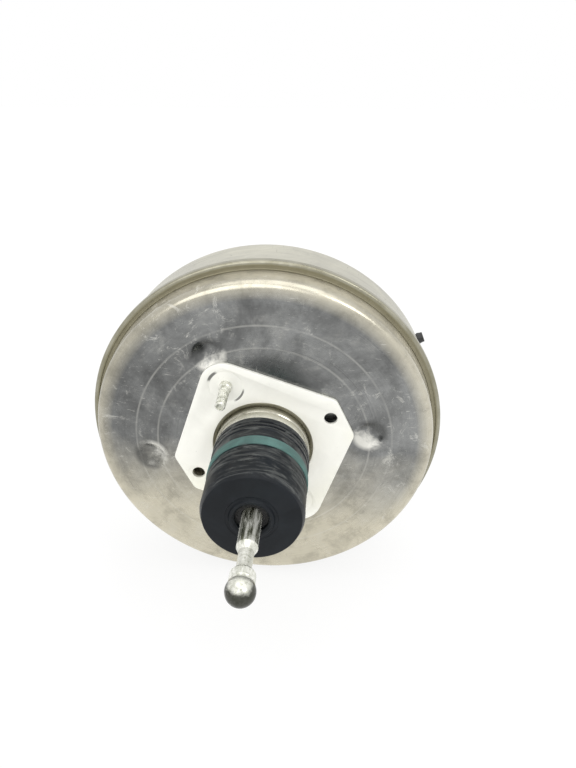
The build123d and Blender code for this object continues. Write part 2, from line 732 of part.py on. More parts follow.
def front_brace():
    """Thick plate inside the front face, with the cup that takes the master cylinder's spigot."""
    cup_r = SPIGOT_CUP_R + SHEET
    brace = turned(
        (FRONT_SEAL_R, cup_floor_y - SHEET),
        (cup_r, cup_floor_y - SHEET),
        (cup_r, brace_y),
        (BRACE_R, brace_y),
        (BRACE_R, front_inner_y),
        (SPIGOT_CUP_R, front_inner_y),
        (SPIGOT_CUP_R, cup_floor_y),
        (FRONT_SEAL_R, cup_floor_y),
    )
    for angle in both(PLATE_CLOCK):
        brace -= at(FRONT_STUD_PCD / 2, angle) * rod(STUD_COLLAR_R + HOLE_PLAY, brace_y, front_inner_y)
    return brace


def front_seal():
    """Seal snapped into the floor of the cup, round the output rod."""
    bore_r = OUTPUT_R + RUNNING_FIT
    lip_r = FRONT_SEAL_R + FRONT_SEAL_LIP
    return turned(
        (bore_r, cup_floor_y - SHEET - FRONT_SEAL_LIP_T),
        (lip_r, cup_floor_y - SHEET - FRONT_SEAL_LIP_T),
        (lip_r, cup_floor_y - SHEET),
        (FRONT_SEAL_R, cup_floor_y - SHEET),
        (FRONT_SEAL_R, cup_floor_y),
        (lip_r, cup_floor_y),
        (lip_r, cup_floor_y + FRONT_SEAL_LIP_T),
        (bore_r, cup_floor_y + FRONT_SEAL_LIP_T),
    )


def return_spring():
    return coil(MAIN_WIRE_R, MAIN_COIL_R, MAIN_TURNS, hub_front_y, brace_y)


def rod_return_spring():
    return coil(ROD_WIRE_R, ROD_COIL_R, ROD_TURNS, ROD_SHOULDER_Y + WASHER_T, poppet_flange_y)


def poppet_spring():
    return coil(POPPET_WIRE_R, POPPET_COIL_R, POPPET_TURNS, poppet_end_y, poppet_y - POPPET_T)


def hose_spigot(start, end):
    """Barbed spigot along the X axis."""
    section = [(start, 0), (start, HOSE_R)]
    for barb in range(HOSE_BARBS, 0, -1):
        step = end - barb * HOSE_BARB_PITCH
        section += [(step, HOSE_R), (step, HOSE_BARB_R), (step + HOSE_BARB_PITCH / 2, HOSE_R)]
    section += [(end, HOSE_R), (end, 0)]
    return revolve(make_face(Polyline(*section, close=True)), Axis.X)


def check_valve_body():
    """Elbow: stem in the grommet, valve chamber, and the spigot for the vacuum hose."""
    body = turned(
        (0, FRONT_LEDGE_Y - CHECK_STEM),
        (CHECK_STEM_R, FRONT_LEDGE_Y - CHECK_STEM),
        (CHECK_STEM_R, check_y),
        (CHECK_HEAD_R, check_y),
        (CHECK_HEAD_R, check_top_y),
        (0, check_top_y),
    )
    bore = Pos(CHECK_CHAMBER_R, 0, 0) * Rot(0, 0, -90) * rod(HOSE_BORE_R, -1, HOSE_REACH)
    body += Pos(0, HOSE_Y, 0) * hose_spigot(CHECK_CHAMBER_R, HOSE_REACH)
    body -= rod(CHECK_PORT_R, FRONT_LEDGE_Y - CHECK_STEM, check_seat_y)
    body -= rod(CHECK_CHAMBER_R, check_seat_y, check_top_y)
    return Rot(0, -CHECK_CLOCK, 0) * Pos(check_r, 0, 0) * (body - Pos(0, HOSE_Y, 0) * bore)


def check_valve_cap():
    lid = rod(CHECK_HEAD_R, check_top_y, check_top_y + CHECK_CAP)
    plug = rod(CHECK_CHAMBER_R - HOLE_PLAY, check_top_y - CHECK_PLUG, check_top_y)
    return at(check_r, CHECK_CLOCK) * (lid + plug)


def check_valve_disc():
    disc = rod(CHECK_DISC_R, check_seat_y, check_seat_y + CHECK_DISC_T)
    return at(check_r, CHECK_CLOCK) * (disc + rod(CHECK_GUIDE_R, check_seat_y - CHECK_GUIDE, check_seat_y))


def check_valve_spring():
    start_y = check_seat_y + CHECK_DISC_T
    spring = coil(CHECK_WIRE_R, CHECK_COIL_R, CHECK_TURNS, start_y, check_top_y - CHECK_PLUG)
    return at(check_r, CHECK_CLOCK) * spring


def valve_grommet():
    inner_y = FRONT_LEDGE_Y - SHEET
    grommet = turned(
        (CHECK_STEM_R, inner_y - GROMMET_LIP),
        (GROMMET_R, inner_y - GROMMET_LIP),
        (GROMMET_R, inner_y),
        (GROMMET_WAIST_R, inner_y),
        (GROMMET_WAIST_R, FRONT_LEDGE_Y),
        (GROMMET_R, FRONT_LEDGE_Y),
        (GROMMET_R, check_y),
        (CHECK_STEM_R, check_y),
    )
    return at(check_r, CHECK_CLOCK) * grommet


PIECES = (
    rear_shell,
    front_shell,
    mounting_plate,
    mounting_studs,
    guide_bush,
    rear_seal,
    seal_retainer,
    valve_body,
    valve_plunger,
    stop_key,
    poppet_valve,
    poppet_retainer,
    poppet_spring,
    input_rod,
    rod_spring_seat,
    rod_return_spring,
    air_filter,
    air_silencer,
    dust_boot,
    boot_band,
    diaphragm,
    diaphragm_plate,
    reaction_disc,
    output_rod,
    output_rod_cap,
    return_spring,
    front_brace,
    front_seal,
    master_cylinder_studs,
    valve_grommet,
    check_valve_body,
    check_valve_cap,
    check_valve_disc,
    check_valve_spring,
)

os.makedirs("parts", exist_ok=True)
for piece in PIECES:
    export_step(piece(), f"parts/{piece.__name__}.step")
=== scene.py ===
import json
import math

import bmesh
import bpy
from mathutils import Matrix, Vector


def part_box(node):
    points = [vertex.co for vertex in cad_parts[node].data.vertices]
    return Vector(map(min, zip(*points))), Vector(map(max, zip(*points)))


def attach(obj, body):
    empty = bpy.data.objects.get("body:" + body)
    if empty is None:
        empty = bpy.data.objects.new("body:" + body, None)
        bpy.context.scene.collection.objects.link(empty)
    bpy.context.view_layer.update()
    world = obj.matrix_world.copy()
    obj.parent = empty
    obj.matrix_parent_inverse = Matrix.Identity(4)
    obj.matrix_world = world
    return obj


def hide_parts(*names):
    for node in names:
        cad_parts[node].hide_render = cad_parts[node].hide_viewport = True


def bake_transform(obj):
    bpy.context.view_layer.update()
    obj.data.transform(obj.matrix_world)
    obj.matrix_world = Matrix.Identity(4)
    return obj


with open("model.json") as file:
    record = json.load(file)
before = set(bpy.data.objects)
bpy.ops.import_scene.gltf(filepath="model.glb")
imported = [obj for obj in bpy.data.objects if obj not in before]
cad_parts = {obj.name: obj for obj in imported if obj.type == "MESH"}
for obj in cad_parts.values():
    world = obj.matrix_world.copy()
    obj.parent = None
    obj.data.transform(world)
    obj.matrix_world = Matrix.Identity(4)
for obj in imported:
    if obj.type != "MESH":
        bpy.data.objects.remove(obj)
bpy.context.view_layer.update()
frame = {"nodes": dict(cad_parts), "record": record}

bl_info = {
    "name": "Brake Booster Dressing",
    "version": (1, 0, 0),
    "blender": (4, 5, 0),
    "location": "View3D > Sidebar > Booster",
    "description": "Dresses the solids of a vacuum brake booster with detailed meshes and finishes",
    "category": "Object",
}

# Outlines are lists of (radius, y, bend) in millimetres, spun about the booster's Y axis. The material
# lies on the left of the way they run. The frame and every finished mesh are in metres.
MM = 0.001
GROUND_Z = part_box("front_shell")[0].z

SHEET = 1.5
SPIN_SEGMENTS = 256
SOFT_SEGMENTS = 192
FINE_SEGMENTS = 128
SMALL_SEGMENTS = 64
BEND_STEPS = 8
SHARP_ANGLE = math.radians(32)

# Drum
NECK_END_Y = -31.0
NECK_SHOULDER_Y = -17.0
NECK_MID_Y = -8.0
NECK_FOOT_Y = -7.2
NECK_END_R = 34.3
NECK_R = 36.8
NECK_FOOT_R = 37.6
NECK_LIP = 5.5
FACE_Y = 3.0
FACE_CONE_BEND = 200.0
FINE_RADII = (40.0, 112.0)  # the dents and cups lie between these
FACE_CONE_R = 84.0
# Two ring edges on the face, drawn only as thin painted highlights.
RING_RADII = (85.5, 103.4)
LEDGE_Y = 6.6
REAR_SHOULDER_R = 136.4
REAR_WALL_R = 138.0
REAR_FLANGE_R = 143.3
FLANGE_Y = 29.5
RIM_R = 145.0
RIM_HEM = 3.7
RIM_BACK_Y = 28.0
RIM_FRONT_Y = 36.5
FRONT_BEAD_R = 142.0
FRONT_WALL_R = 141.0
FRONT_STEP_R = 98.0
FRONT_FACE_R = 66.0
SPIGOT_HOLE_R = 21.5
FRONT_LEDGE_Y = 91.0
FRONT_FACE_Y = 112.0
DENTS = ((89.0, 117.3), (94.0, 188.6), (86.3, 7.6))
# Angle towards each dent's dirty side with painted shade; the opposite side is rubbed and has a painted
# highlight.
DENT_SHADE_LEANS = (125.0, 230.0, 50.0)
DENT_DEPTH = 4.5
DENT_BOWL_R = 18.0
DENT_LIP_R = 6.0
DENT_LIP_RISE = 0.15
DENT_MEET_R = 10.65
DENT_R = 14.2
CUP_ROUND = 1.2
BOLT_R = 60.4
HOLE_CLOCK = 27.3
STUD_CLOCK = 117.3
CUP_R = 7.5
CUP_DEPTH = 6.0

# Mounting plate
PLATE_T = 3.0
PLATE_CLOCK = -19.5
PLATE_HALF_U = 64.5
PLATE_HALF_V = 60.5
PLATE_CUT = 24.5
PLATE_CUT_ROUND = 7.0
PLATE_ROUND = 19.0
PLATE_BORE_R = 40.4
PLATE_EDGE = 0.4
BOLT_HOLE_R = 5.15
STUD_HOLE_R = 4.9
PAD_R = 14.3
PAD_DEPTH = 0.8

# Studs
STUD_R = 4.0
STUD_CORE_R = 3.8
STUD_COLLAR_R = 4.8
STUD_HEAD_R = 9.0
STUD_HEAD_T = 4.0
THREAD_PITCH = 1.25
REAR_STUD_LENGTH = 31.0
FRONT_STUD_LENGTH = 24.0
FRONT_BRACE_T = 3.0
FRONT_BOLT_R = 40.0

# Check valve
CHECK_R = 114.5
CHECK_CLOCK = 22.5
CHECK_HOLE_R = 9.5
HOSE_Y = 98.0
HOSE_REACH = 31.5
HOSE_BORE_R = 2.5
HOSE_PIPE_R = 4.4
HOSE_BARB_R = 5.1
HOSE_BARBS = (16.5, 21.5, 26.5)

# Boot
BOOT_R = 36.8
BOOT_WALL = 2.4
BOOT_TAIL_Y = -86.0
BOOT_END_Y = -89.6
BAND_Y = -42.0
BAND_W = 10.0
BOOT_STILL_Y = -32.0
BOOT_MOVING_Y = -84.0
BOOT_GROOVES = ((-22.0, -23.4), (-26.6, -27.8))
BOOT_WAVE_LENGTH = 5.5
BOOT_WAVE_STEPS = 48
TAIL_GROOVE_R = (26.1, 28.4)

# Pedal rod
SOCKET_Y = -30.0
SOCKET_BALL_R = 5.0
ROD_WAIST_R = 3.2
ROD_FRONT_R = 5.0
ROD_SHOULDER_Y = -70.0
ROD_R = 7.3
ROD_NECK_R = 5.0
ROD_COLLAR_Y = -140.0
ROD_COLLAR_R = 8.4
PEDAL_BALL_R = 9.7
PEDAL_BALL_Y = -155.7

# Diaphragm
FOLD_R = 134.2
DISC_R = 24.0
DISC_BEAD_R = 30.0
DISC_Y = 15.5
DIAPHRAGM_STILL_Y = 30.0
DIAPHRAGM_MOVING_Y = 15.6

# Stage
CAMERA_PLACE = (43.6, -441.9, 295.4)
CAMERA_RIGHT = (0.99861, 0.05265, 0.0)
CAMERA_DOWN = (0.02493, -0.47275, -0.88084)
CAMERA_FORWARD = (-0.04638, 0.87962, -0.47341)
PICTURE_HEIGHT = 768
FOCAL_PIXELS = 660
SENSOR_HEIGHT = 24.0
FLOOR_HALF = 4.0
FLOOR_GAP = 0.0002
FLOOR_COLOUR = (0.97, 0.97, 0.97)
FLOOR_WHITE_SHARE = 0.82  # the rest of the floor's look keeps the booster's shadow
SOFT_LIGHT = 0.8
WHITE = (1.0, 1.0, 1.0)
BLACK = (0.0, 0.0, 0.0)
LAMP_COLOUR = (1.0, 0.995, 0.98)


# ---- outlines and meshes


def rounded(corners, closed=False):
    """Points of an outline in metres, with an arc in each corner that has a bend."""
    points = []
    count = len(corners)
    for index, (radius, y, bend) in enumerate(corners):
        corner = Vector((radius, y)) * MM
        if not bend or (not closed and index in (0, count - 1)):
            points.append(corner)
            continue
        before = (Vector(corners[index - 1][:2]) * MM - corner).normalized()
        after = (Vector(corners[(index + 1) % count][:2]) * MM - corner).normalized()
        half = before.angle(after) / 2
        centre = corner + (before + after).normalized() * (bend * MM / math.sin(half))
        start = (corner + before * (bend * MM / math.tan(half)) - centre).normalized()
        end = (corner + after * (bend * MM / math.tan(half)) - centre).normalized()
        shares = [step / BEND_STEPS for step in range(BEND_STEPS + 1)]
        points += [centre + start.slerp(end, share) * bend * MM for share in shares]
    return points


def divided(points, step, fine=None):
    """The same line with no piece longer than a step, or than four steps outside the fine radii."""
    line = [points[0]]
    for start, end in zip(points, points[1:]):
        middle = (start.x + end.x) / 2
        is_fine = fine is None or fine[0] * MM < middle < fine[1] * MM
        count = max(1, math.ceil((end - start).length / (step * MM * (1 if is_fine else 4))))
        line += [start.lerp(end, index / count) for index in range(1, count + 1)]
    return line


def arc(centre_y, radius, start, end, steps=24):
    """Corners along a circle centred on the axis, between two angles counted from +Y in degrees."""
    corners = []
    for step in range(steps + 1):
        turn = math.radians(start + (end - start) * step / steps)
        corners.append((radius * math.sin(turn), centre_y + radius * math.cos(turn), 0))
    return corners


def link(name, data):
    """Puts a mesh, a curve, a lamp or a camera into the scene as an object."""
    piece = bpy.data.objects.new(name, data)
    bpy.context.scene.collection.objects.link(piece)
    return piece


def smooth(piece):
    """Smooth shading with sharp edges at the real corners."""
    for face in piece.data.polygons:
        face.use_smooth = True
    piece.data.set_sharp_from_angle(angle=SHARP_ANGLE)


def spin(name, points, closed, segments):
    """Mesh of revolution about Y. A point on the axis becomes one pole."""
    turns = [2 * math.pi * index / segments for index in range(segments)]
    places = []
    rings = []
    for point in points:
        first = len(places)
        if point.x < 1e-7:
            places.append((0, point.y, 0))
            rings.append([first] * segments)
            continue
        places += [(point.x * math.cos(turn), point.y, point.x * math.sin(turn)) for turn in turns]
        rings.append(range(first, first + segments))
    pairs = list(zip(rings, rings[1:]))
    if closed and points[0].x > 1e-7 and points[-1].x > 1e-7:
        pairs.append((rings[-1], rings[0]))
    faces = []
    for lower, upper in pairs:
        for index in range(segments):
            after = (index + 1) % segments
            corners = dict.fromkeys((lower[index], upper[index], upper[after], lower[after]))
            if len(corners) > 2:
                faces.append(tuple(corners))
    mesh = bpy.data.meshes.new(name)
    mesh.from_pydata(places, [], faces)
    return link(name, mesh)


def solid(name, corners, segments=FINE_SEGMENTS):
    """Closed turned piece."""
    piece = spin(name, rounded(corners, closed=True), True, segments)
    smooth(piece)
    return piece


def settle(piece):
    """Turns the piece's modifiers into a plain mesh."""
    graph = bpy.context.evaluated_depsgraph_get()
    mesh = bpy.data.meshes.new_from_object(piece.evaluated_get(graph))
    piece.modifiers.clear()
    piece.data = mesh
    mesh.name = piece.name


def thicken(piece, thickness):
    """Gives a spun sheet its wall, on the inner side."""
    wall = piece.modifiers.new("wall", "SOLIDIFY")
    wall.thickness = thickness * MM
    wall.offset = -1
    wall.use_even_offset = True
    settle(piece)


def cut(piece, cutter):
    """Takes the cutter's shape out of the piece."""
    hole = piece.modifiers.new("cut", "BOOLEAN")
    hole.operation = "DIFFERENCE"
    hole.solver = "EXACT"
    hole.object = cutter
    settle(piece)
    bpy.data.objects.remove(cutter)


def move(piece, shift, turn=None):
    """Puts a shift, and a turn before it, into the piece's mesh."""
    matrix = Matrix.Translation(Vector(shift) * MM)
    if turn is not None:
        matrix = matrix @ turn
    piece.data.transform(matrix)


def on_circle(radius, angle, y=0.0):
    """Place at a distance and an angle round the Y axis, in millimetres and degrees."""
    turn = math.radians(angle)
    return (radius * math.cos(turn), y, radius * math.sin(turn))


def join(name, pieces):
    """Makes one mesh of several pieces."""
    work = bmesh.new()
    for piece in pieces:
        work.from_mesh(piece.data)
    mesh = bpy.data.meshes.new(name)
    work.to_mesh(mesh)
    work.free()
    for piece in pieces:
        bpy.data.objects.remove(piece)
    whole = link(name, mesh)
    smooth(whole)
    return whole


def finish_as(piece, node, slot):
    """Gives a piece its finish, and lets it stand for a solid."""
    piece.data.materials.clear()
    piece.data.materials.append(FINISHES[slot])
    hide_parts(node)


def fix_to(piece, body, node, slot):
    """Puts a rigid piece on a body in place of a solid."""
    finish_as(piece, node, slot)
    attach(piece, body)


def stretch_between(piece, still, moving, start_y, end_y, node, slot):
    """Gives a soft piece its finish in place of a solid, and bakes its place into its mesh. The two bodies
    and the ends on the Y axis are not used.
    """
    finish_as(piece, node, slot)
    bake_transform(piece)


# ---- geometry nodes


def helix_tree():
    """Node tree that sweeps a round or triangular wire along a helix about the Y axis."""
    tree = bpy.data.node_groups.new("helix_wire", "GeometryNodeTree")
    tree.is_modifier = True
    kinds = dict.fromkeys(("Turns", "Radius", "Length", "Start", "Wire"), "Float")
    kinds.update(Sides="Int", Steps="Int", Finish="Material")
    for label, kind in kinds.items():
        tree.interface.new_socket(label, in_out="INPUT", socket_type="NodeSocket" + kind)
    tree.interface.new_socket("Geometry", in_out="OUTPUT", socket_type="NodeSocketGeometry")

    def add(kind, **links):
        """Adds a node and links its sockets. Underscores stand for spaces in their names."""
        node = tree.nodes.new(kind)
        for label, source in links.items():
            tree.links.new(source, node.inputs[label.replace("_", " ")])
        return node

    ask = add("NodeGroupInput").outputs
    path = add(
        "GeometryNodeCurveSpiral",
        Resolution=ask["Steps"],
        Rotations=ask["Turns"],
        Start_Radius=ask["Radius"],
        End_Radius=ask["Radius"],
        Height=ask["Length"],
    )
    wire = add("GeometryNodeCurvePrimitiveCircle", Resolution=ask["Sides"], Radius=ask["Wire"])
    sweep = add("GeometryNodeCurveToMesh", Curve=path.outputs["Curve"], Profile_Curve=wire.outputs["Curve"])
    sweep.inputs["Fill Caps"].default_value = True
    place = add("ShaderNodeCombineXYZ", Y=ask["Start"]).outputs["Vector"]
    lay = add("GeometryNodeTransform", Geometry=sweep.outputs["Mesh"], Translation=place)
    lay.inputs["Rotation"].default_value = (-math.pi / 2, 0, 0)
    realize = add("GeometryNodeRealizeInstances", Geometry=lay.outputs["Geometry"])
    paint = add("GeometryNodeSetMaterial", Geometry=realize.outputs["Geometry"], Material=ask["Finish"])
    add("NodeGroupOutput", Geometry=paint.outputs["Geometry"])
    return tree


def helix(name, finish, start, end, radius, wire, turns, sides=10, steps=32):
    """Helical wire between two places on the Y axis, all in millimetres."""
    tree = bpy.data.node_groups.get("helix_wire") or helix_tree()
    piece = link(name, bpy.data.meshes.new(name))
    maker = piece.modifiers.new("helix", "NODES")
    maker.node_group = tree
    answers = {
        "Turns": float(turns),
        "Radius": radius * MM,
        "Length": (end - start - 2 * wire) * MM,
        "Start": (start + wire) * MM,
        "Wire": wire * MM,
        "Sides": sides,
        "Steps": steps,
        "Finish": finish,
    }
    for item in tree.interface.items_tree:
        if item.name in answers and item.in_out == "INPUT":
            maker[item.identifier] = answers[item.name]
    settle(piece)
    smooth(piece)
    return piece


# ---- finishes


class Signal:
    """A number from a node, which adds Math nodes when it takes part in arithmetic."""

    def __init__(self, graph, socket):
        self.graph = graph
        self.socket = socket

    def math(self, operation, *others):
        return self.graph.sum(operation, self, *others)

    def __add__(self, other):
        return self.math("ADD", other)

    def __radd__(self, other):
        return self.graph.sum("ADD", other, self)

    def __sub__(self, other):
        return self.math("SUBTRACT", other)

    def __rsub__(self, other):
        return self.graph.sum("SUBTRACT", other, self)

    def __mul__(self, other):
        return self.math("MULTIPLY", other)

    def __rmul__(self, other):
        return self.graph.sum("MULTIPLY", other, self)

    def __pow__(self, other):
        return self.math("POWER", other)


class Graph:
    """Node tree of one material or world, with its main shader."""

    def __init__(self, owner):
        owner.use_nodes = True
        self.tree = owner.node_tree
        self.tree.nodes.clear()

    def node(self, kind, settings=None, inputs=None):
        """Adds a node, with its settings first and then the values or links of its sockets."""
        node = self.tree.nodes.new(kind)
        for key, value in (settings or {}).items():
            setattr(node, key, value)
        for key, value in (inputs or {}).items():
            self.feed(node.inputs[key], value)
        return node

    def sum(self, operation, *values):
        """One Math node on signals and numbers."""
        node = self.node("ShaderNodeMath", {"operation": operation}, dict(enumerate(values)))
        return Signal(self, node.outputs[0])

    def feed(self, socket, value):
        if isinstance(value, Signal):
            value = value.socket
        if isinstance(value, bpy.types.NodeSocket):
            self.tree.links.new(value, socket)
        elif isinstance(value, tuple) and len(value) == 3 and socket.type == "RGBA":
            socket.default_value = (*value, 1)
        else:
            socket.default_value = value

    def colour(self, name):
        """One of the colours that a user can change."""
        return tuple(getattr(bpy.context.scene.booster_finishes, name))

    def place(self):
        return self.node("ShaderNodeTexCoord").outputs["Object"]

    def axes(self, vector):
        split = self.node("ShaderNodeSeparateXYZ", inputs={"Vector": vector})
        return [Signal(self, socket) for socket in split.outputs]

    def vector(self, x, y, z):
        return self.node("ShaderNodeCombineXYZ", inputs={"X": x, "Y": y, "Z": z}).outputs["Vector"]

    def stretched(self, vector, scale):
        inputs = {"Vector": vector, "Scale": scale}
        return self.node("ShaderNodeMapping", inputs=inputs).outputs["Vector"]

    def noise(self, vector, scale, detail=4.0, roughness=0.55, distortion=0.0):
        inputs = {"Vector": vector, "Scale": scale, "Detail": detail}
        inputs.update(Roughness=roughness, Distortion=distortion)
        return Signal(self, self.node("ShaderNodeTexNoise", inputs=inputs).outputs[0])

    def band(self, signal, low, high, out_low=0.0, out_high=1.0):
        """The signal spread from one range to another, and held at its ends."""
        values = {"Value": signal, 1: low, 2: high, 3: out_low, 4: out_high}
        return Signal(self, self.node("ShaderNodeMapRange", {"clamp": True}, values).outputs[0])

    def mix(self, factor, first, second):
        """Blend of two colours."""
        node = self.node("ShaderNodeMix", {"data_type": "RGBA"}, {0: factor, 6: first, 7: second})
        return node.outputs[2]

    def bump(self, height, depth, strength):
        inputs = {"Strength": strength, "Distance": depth, "Height": height}
        return self.node("ShaderNodeBump", inputs=inputs).outputs["Normal"]

    def surface(self, **inputs):
        """Principled shader on the output. Names with an underscore stand for names with a space."""
        shader = self.node("ShaderNodeBsdfPrincipled")
        for key, value in inputs.items():
            self.feed(shader.inputs[key.replace("_", " ")], value)
        self.show("ShaderNodeOutputMaterial", shader)

    def show(self, output, shader):
        """Sends a shader to the output node."""
        self.node(output, inputs={"Surface": shader.outputs[0]})

    def share(self, factor, first, second):
        """Blend of two shaders."""
        inputs = {0: factor, 1: first.outputs[0], 2: second.outputs[0]}
        return self.node("ShaderNodeMixShader", inputs=inputs)


def new_finish(name):
    """A material, its node tree, and the place of each point on the object."""
    material = bpy.data.materials.new(name)
    graph = Graph(material)
    return material, graph, graph.place()


def shade(colour, factor):
    return tuple(min(1.0, part * factor) for part in colour)


def spun_aluminium():
    """Dulled pressed shell: spin lines, tooling rings, smudges and scuffs; a painted reflection of the
    floor below, painted highlights on the shoulder and two ring edges, painted shade on the left, in the
    crease and at the neck's foot, and in each dent a dirty, painted-shade side and a rubbed,
    painted-highlight side.
    """
    material, g, place = new_finish("spun_aluminium")
    colour = g.colour("rear_shell")
    pale_tone_and_reflection = g.colour("shell_tone_and_reflection")
    light = g.colour("bare_metal_and_highlight")
    x, y, z = g.axes(place)
    radius = (x * x + z * z) ** 0.5
    rings = g.vector(radius + y, x * 0.02, z * 0.02)
    lines = g.noise(rings, 1500, 3)
    bands = g.noise(rings, 230, 4, 0.7)
    smudge = g.noise(place, 14, 9, 0.72, 0.6)
    blot = g.noise(place, 48, 8, 0.72, 0.3)
    stain = g.noise(place, 7, 5, 0.6, 0.8)
    worn = g.band(((x + 0.062) ** 2.0 + (z - 0.088) ** 2.0) ** 0.5, 0.055, 0.010) * 0.028
    scuff = g.band(g.noise(place, 62, 9, 0.78, 1.8) + worn, 0.57, 0.63)
    scuff = scuff * g.band(smudge + worn, 0.46, 0.56)
    scratch_place = g.stretched(place, (1.0, 1.0, 7.0))
    scratch = g.band(g.noise(scratch_place, 120, 4, 0.6, 0.8), 0.66, 0.7)
    wall = g.band(y, 0.0115, 0.0175)
    neck = g.band(radius, 0.043, 0.039)
    outer = g.band(radius, 0.123, 0.133)
    dent_grime_and_shade, dent_rub_and_highlight = 0.0, 0.0
    for (distance, angle), lean in zip(DENTS, DENT_SHADE_LEANS):
        centre = on_circle(distance, angle)
        across = x - centre[0] * MM
        up = z - centre[2] * MM
        dent = g.band((across * across + up * up) ** 0.5, 0.0155, 0.0115)
        turn = math.radians(lean)
        facing = across * math.cos(turn) + up * math.sin(turn)
        dent_grime_and_shade = dent * g.band(facing + (blot - 0.5) * 0.02, -0.001, 0.005) + dent_grime_and_shade
        dent_rub_and_highlight = dent * g.band(facing + (blot - 0.5) * 0.04, -0.001, -0.009) + dent_rub_and_highlight
    edges = 0.0
    for ring_r in RING_RADII:
        edges = g.band((radius - ring_r * MM).math("ABSOLUTE"), 0.0010, 0.0004) + edges
    # Painted shade at the neck's foot and in the crease behind the rim.
    foot = neck * g.band(y, -0.0150, -0.0095)
    crease = g.band(y, 0.0272, 0.0288)
    # Painted reflection of the pale floor: the face turns pale and warm towards the bottom.
    paler_area = g.band(z + x * 0.15 + (stain - 0.5) * 0.10, 0.000, -0.070)
    tone = g.mix(g.band(smudge, 0.38, 0.60), shade(colour, 0.72), shade(colour, 1.15))
    tone = g.mix(paler_area, tone, pale_tone_and_reflection)
    # Painted highlight: a paler warm ring round the shoulder.
    tone = g.mix(outer * 0.75, tone, shade(pale_tone_and_reflection, 1.1))
    tone = g.mix(wall, tone, shade(pale_tone_and_reflection, 0.9))
    tone = g.mix(neck, tone, light)
    tone = g.mix(g.band(blot, 0.48, 0.62) * 0.22, tone, BLACK)
    # Painted shade: the face darker towards its left, except on its pale lower half.
    tone = g.mix(g.band(x, 0.03, -0.09) * (1.0 - paler_area) * 0.22, tone, BLACK)
    tone = g.mix(g.band(blot, 0.46, 0.34) * 0.14, tone, light)
    tone = g.mix(g.band(lines, 0.4, 0.7) * 0.08, tone, BLACK)
    # Painted highlights: thin light lines on the face's two ring edges.
    tone = g.mix(edges * g.band(smudge, 0.60, 0.42, 0.05, 0.25), tone, light)
    tone = g.mix(g.band(bands, 0.38, 0.30) * 0.22, tone, BLACK)
    tone = g.mix((scuff + scratch).math("MINIMUM", 1.0) * 0.4, tone, light)
    tone = g.mix((crease * 0.8 + foot * 0.5).math("MINIMUM", 1.0), tone, g.colour("crease"))
    # In each dent: a dirty side with painted shade, and a rubbed side with a painted highlight.
    tone = g.mix(dent_grime_and_shade * 0.7, tone, shade(colour, 0.3))
    tone = g.mix(dent_rub_and_highlight * 0.8, tone, light)
    rough = g.band(smudge, 0.36, 0.64, 0.34, 0.16) + g.band(bands, 0.3, 0.7, 0.0, 0.04)
    height = lines * 0.35 + bands * 0.45 + smudge * 0.6 + blot * 0.35
    g.surface(
        Base_Color=tone,
        Metallic=1.0 - wall * 0.3 - scuff * 0.2 - dent_rub_and_highlight * 0.5,
        Roughness=rough + scuff * 0.25 + wall * 0.2 + dent_rub_and_highlight * 0.1 - neck * 0.05,
        Normal=g.bump(height, 0.00010, 0.5),
    )
    return material


def drawn_aluminium():
    """Front shell: paler skin with drawing lines, rubbed marks, scratches, a yellowed rim and painted shade
    in the rim's inner lip.
    """
    material, g, place = new_finish("drawn_aluminium")
    colour = g.colour("front_shell")
    x, y, z = g.axes(place)
    around = g.vector(x * 0.03, y, z * 0.03)
    round_lines = g.noise(around, 900, 4)
    seams = g.band(g.noise(around, 260, 3, 0.6), 0.60, 0.66)
    mottle = g.noise(place, 20, 7, 0.7, 1.0)
    rub = g.noise(g.stretched(place, (0.5, 2.0, 0.5)), 60, 6, 0.7, 1.0)
    scratch = g.band(g.noise(g.stretched(place, (3.0, 0.6, 3.0)), 90, 5, 0.65, 1.5), 0.64, 0.68)
    rim = g.band(y, 0.0375, 0.0355)
    tone = g.mix(g.band(mottle, 0.34, 0.66), shade(colour, 0.80), shade(colour, 1.08))
    tone = g.mix(g.band(rub, 0.52, 0.66) * 0.35, tone, shade(colour, 0.74))
    tone = g.mix(seams * 0.35, tone, shade(colour, 0.5))
    tone = g.mix(rim * g.band(mottle, 0.3, 0.55, 0.95, 0.6), tone, g.colour("rim_stain"))
    # Painted shade in the inner lip of the rolled rim.
    lip = rim * g.band((x * x + z * z) ** 0.5, 0.1428, 0.1419)
    tone = g.mix(lip * 0.8, tone, g.colour("crease"))
    tone = g.mix(scratch * 0.6, tone, shade(colour, 0.4))
    rough = g.band(mottle, 0.3, 0.7, 0.30, 0.44) + g.band(round_lines, 0.3, 0.7, -0.04, 0.06)
    g.surface(
        Base_Color=tone,
        Metallic=0.88,
        Roughness=rough - rim * 0.06,
        Normal=g.bump(round_lines + mottle * 0.8 - scratch * 0.8 - seams * 0.5, 0.00006, 0.5),
    )
    return material


def mark(g, x, z, centre, radius, width, angle, spread):
    """A short dark arc at a distance and an angle round a centre, in millimetres and degrees."""
    across = x - centre[0] * MM
    up = z - centre[2] * MM
    away = (across * across + up * up) ** 0.5
    turn = math.radians(angle)
    facing = (across * math.cos(turn) + up * math.sin(turn)).math("DIVIDE", away)
    rim = (away - radius * MM).math("ABSOLUTE")
    along = g.band(facing, math.cos(math.radians(spread)), 1.0, 0.0, 1.6)
    return g.band(rim, width * MM, width * 0.5 * MM) * along


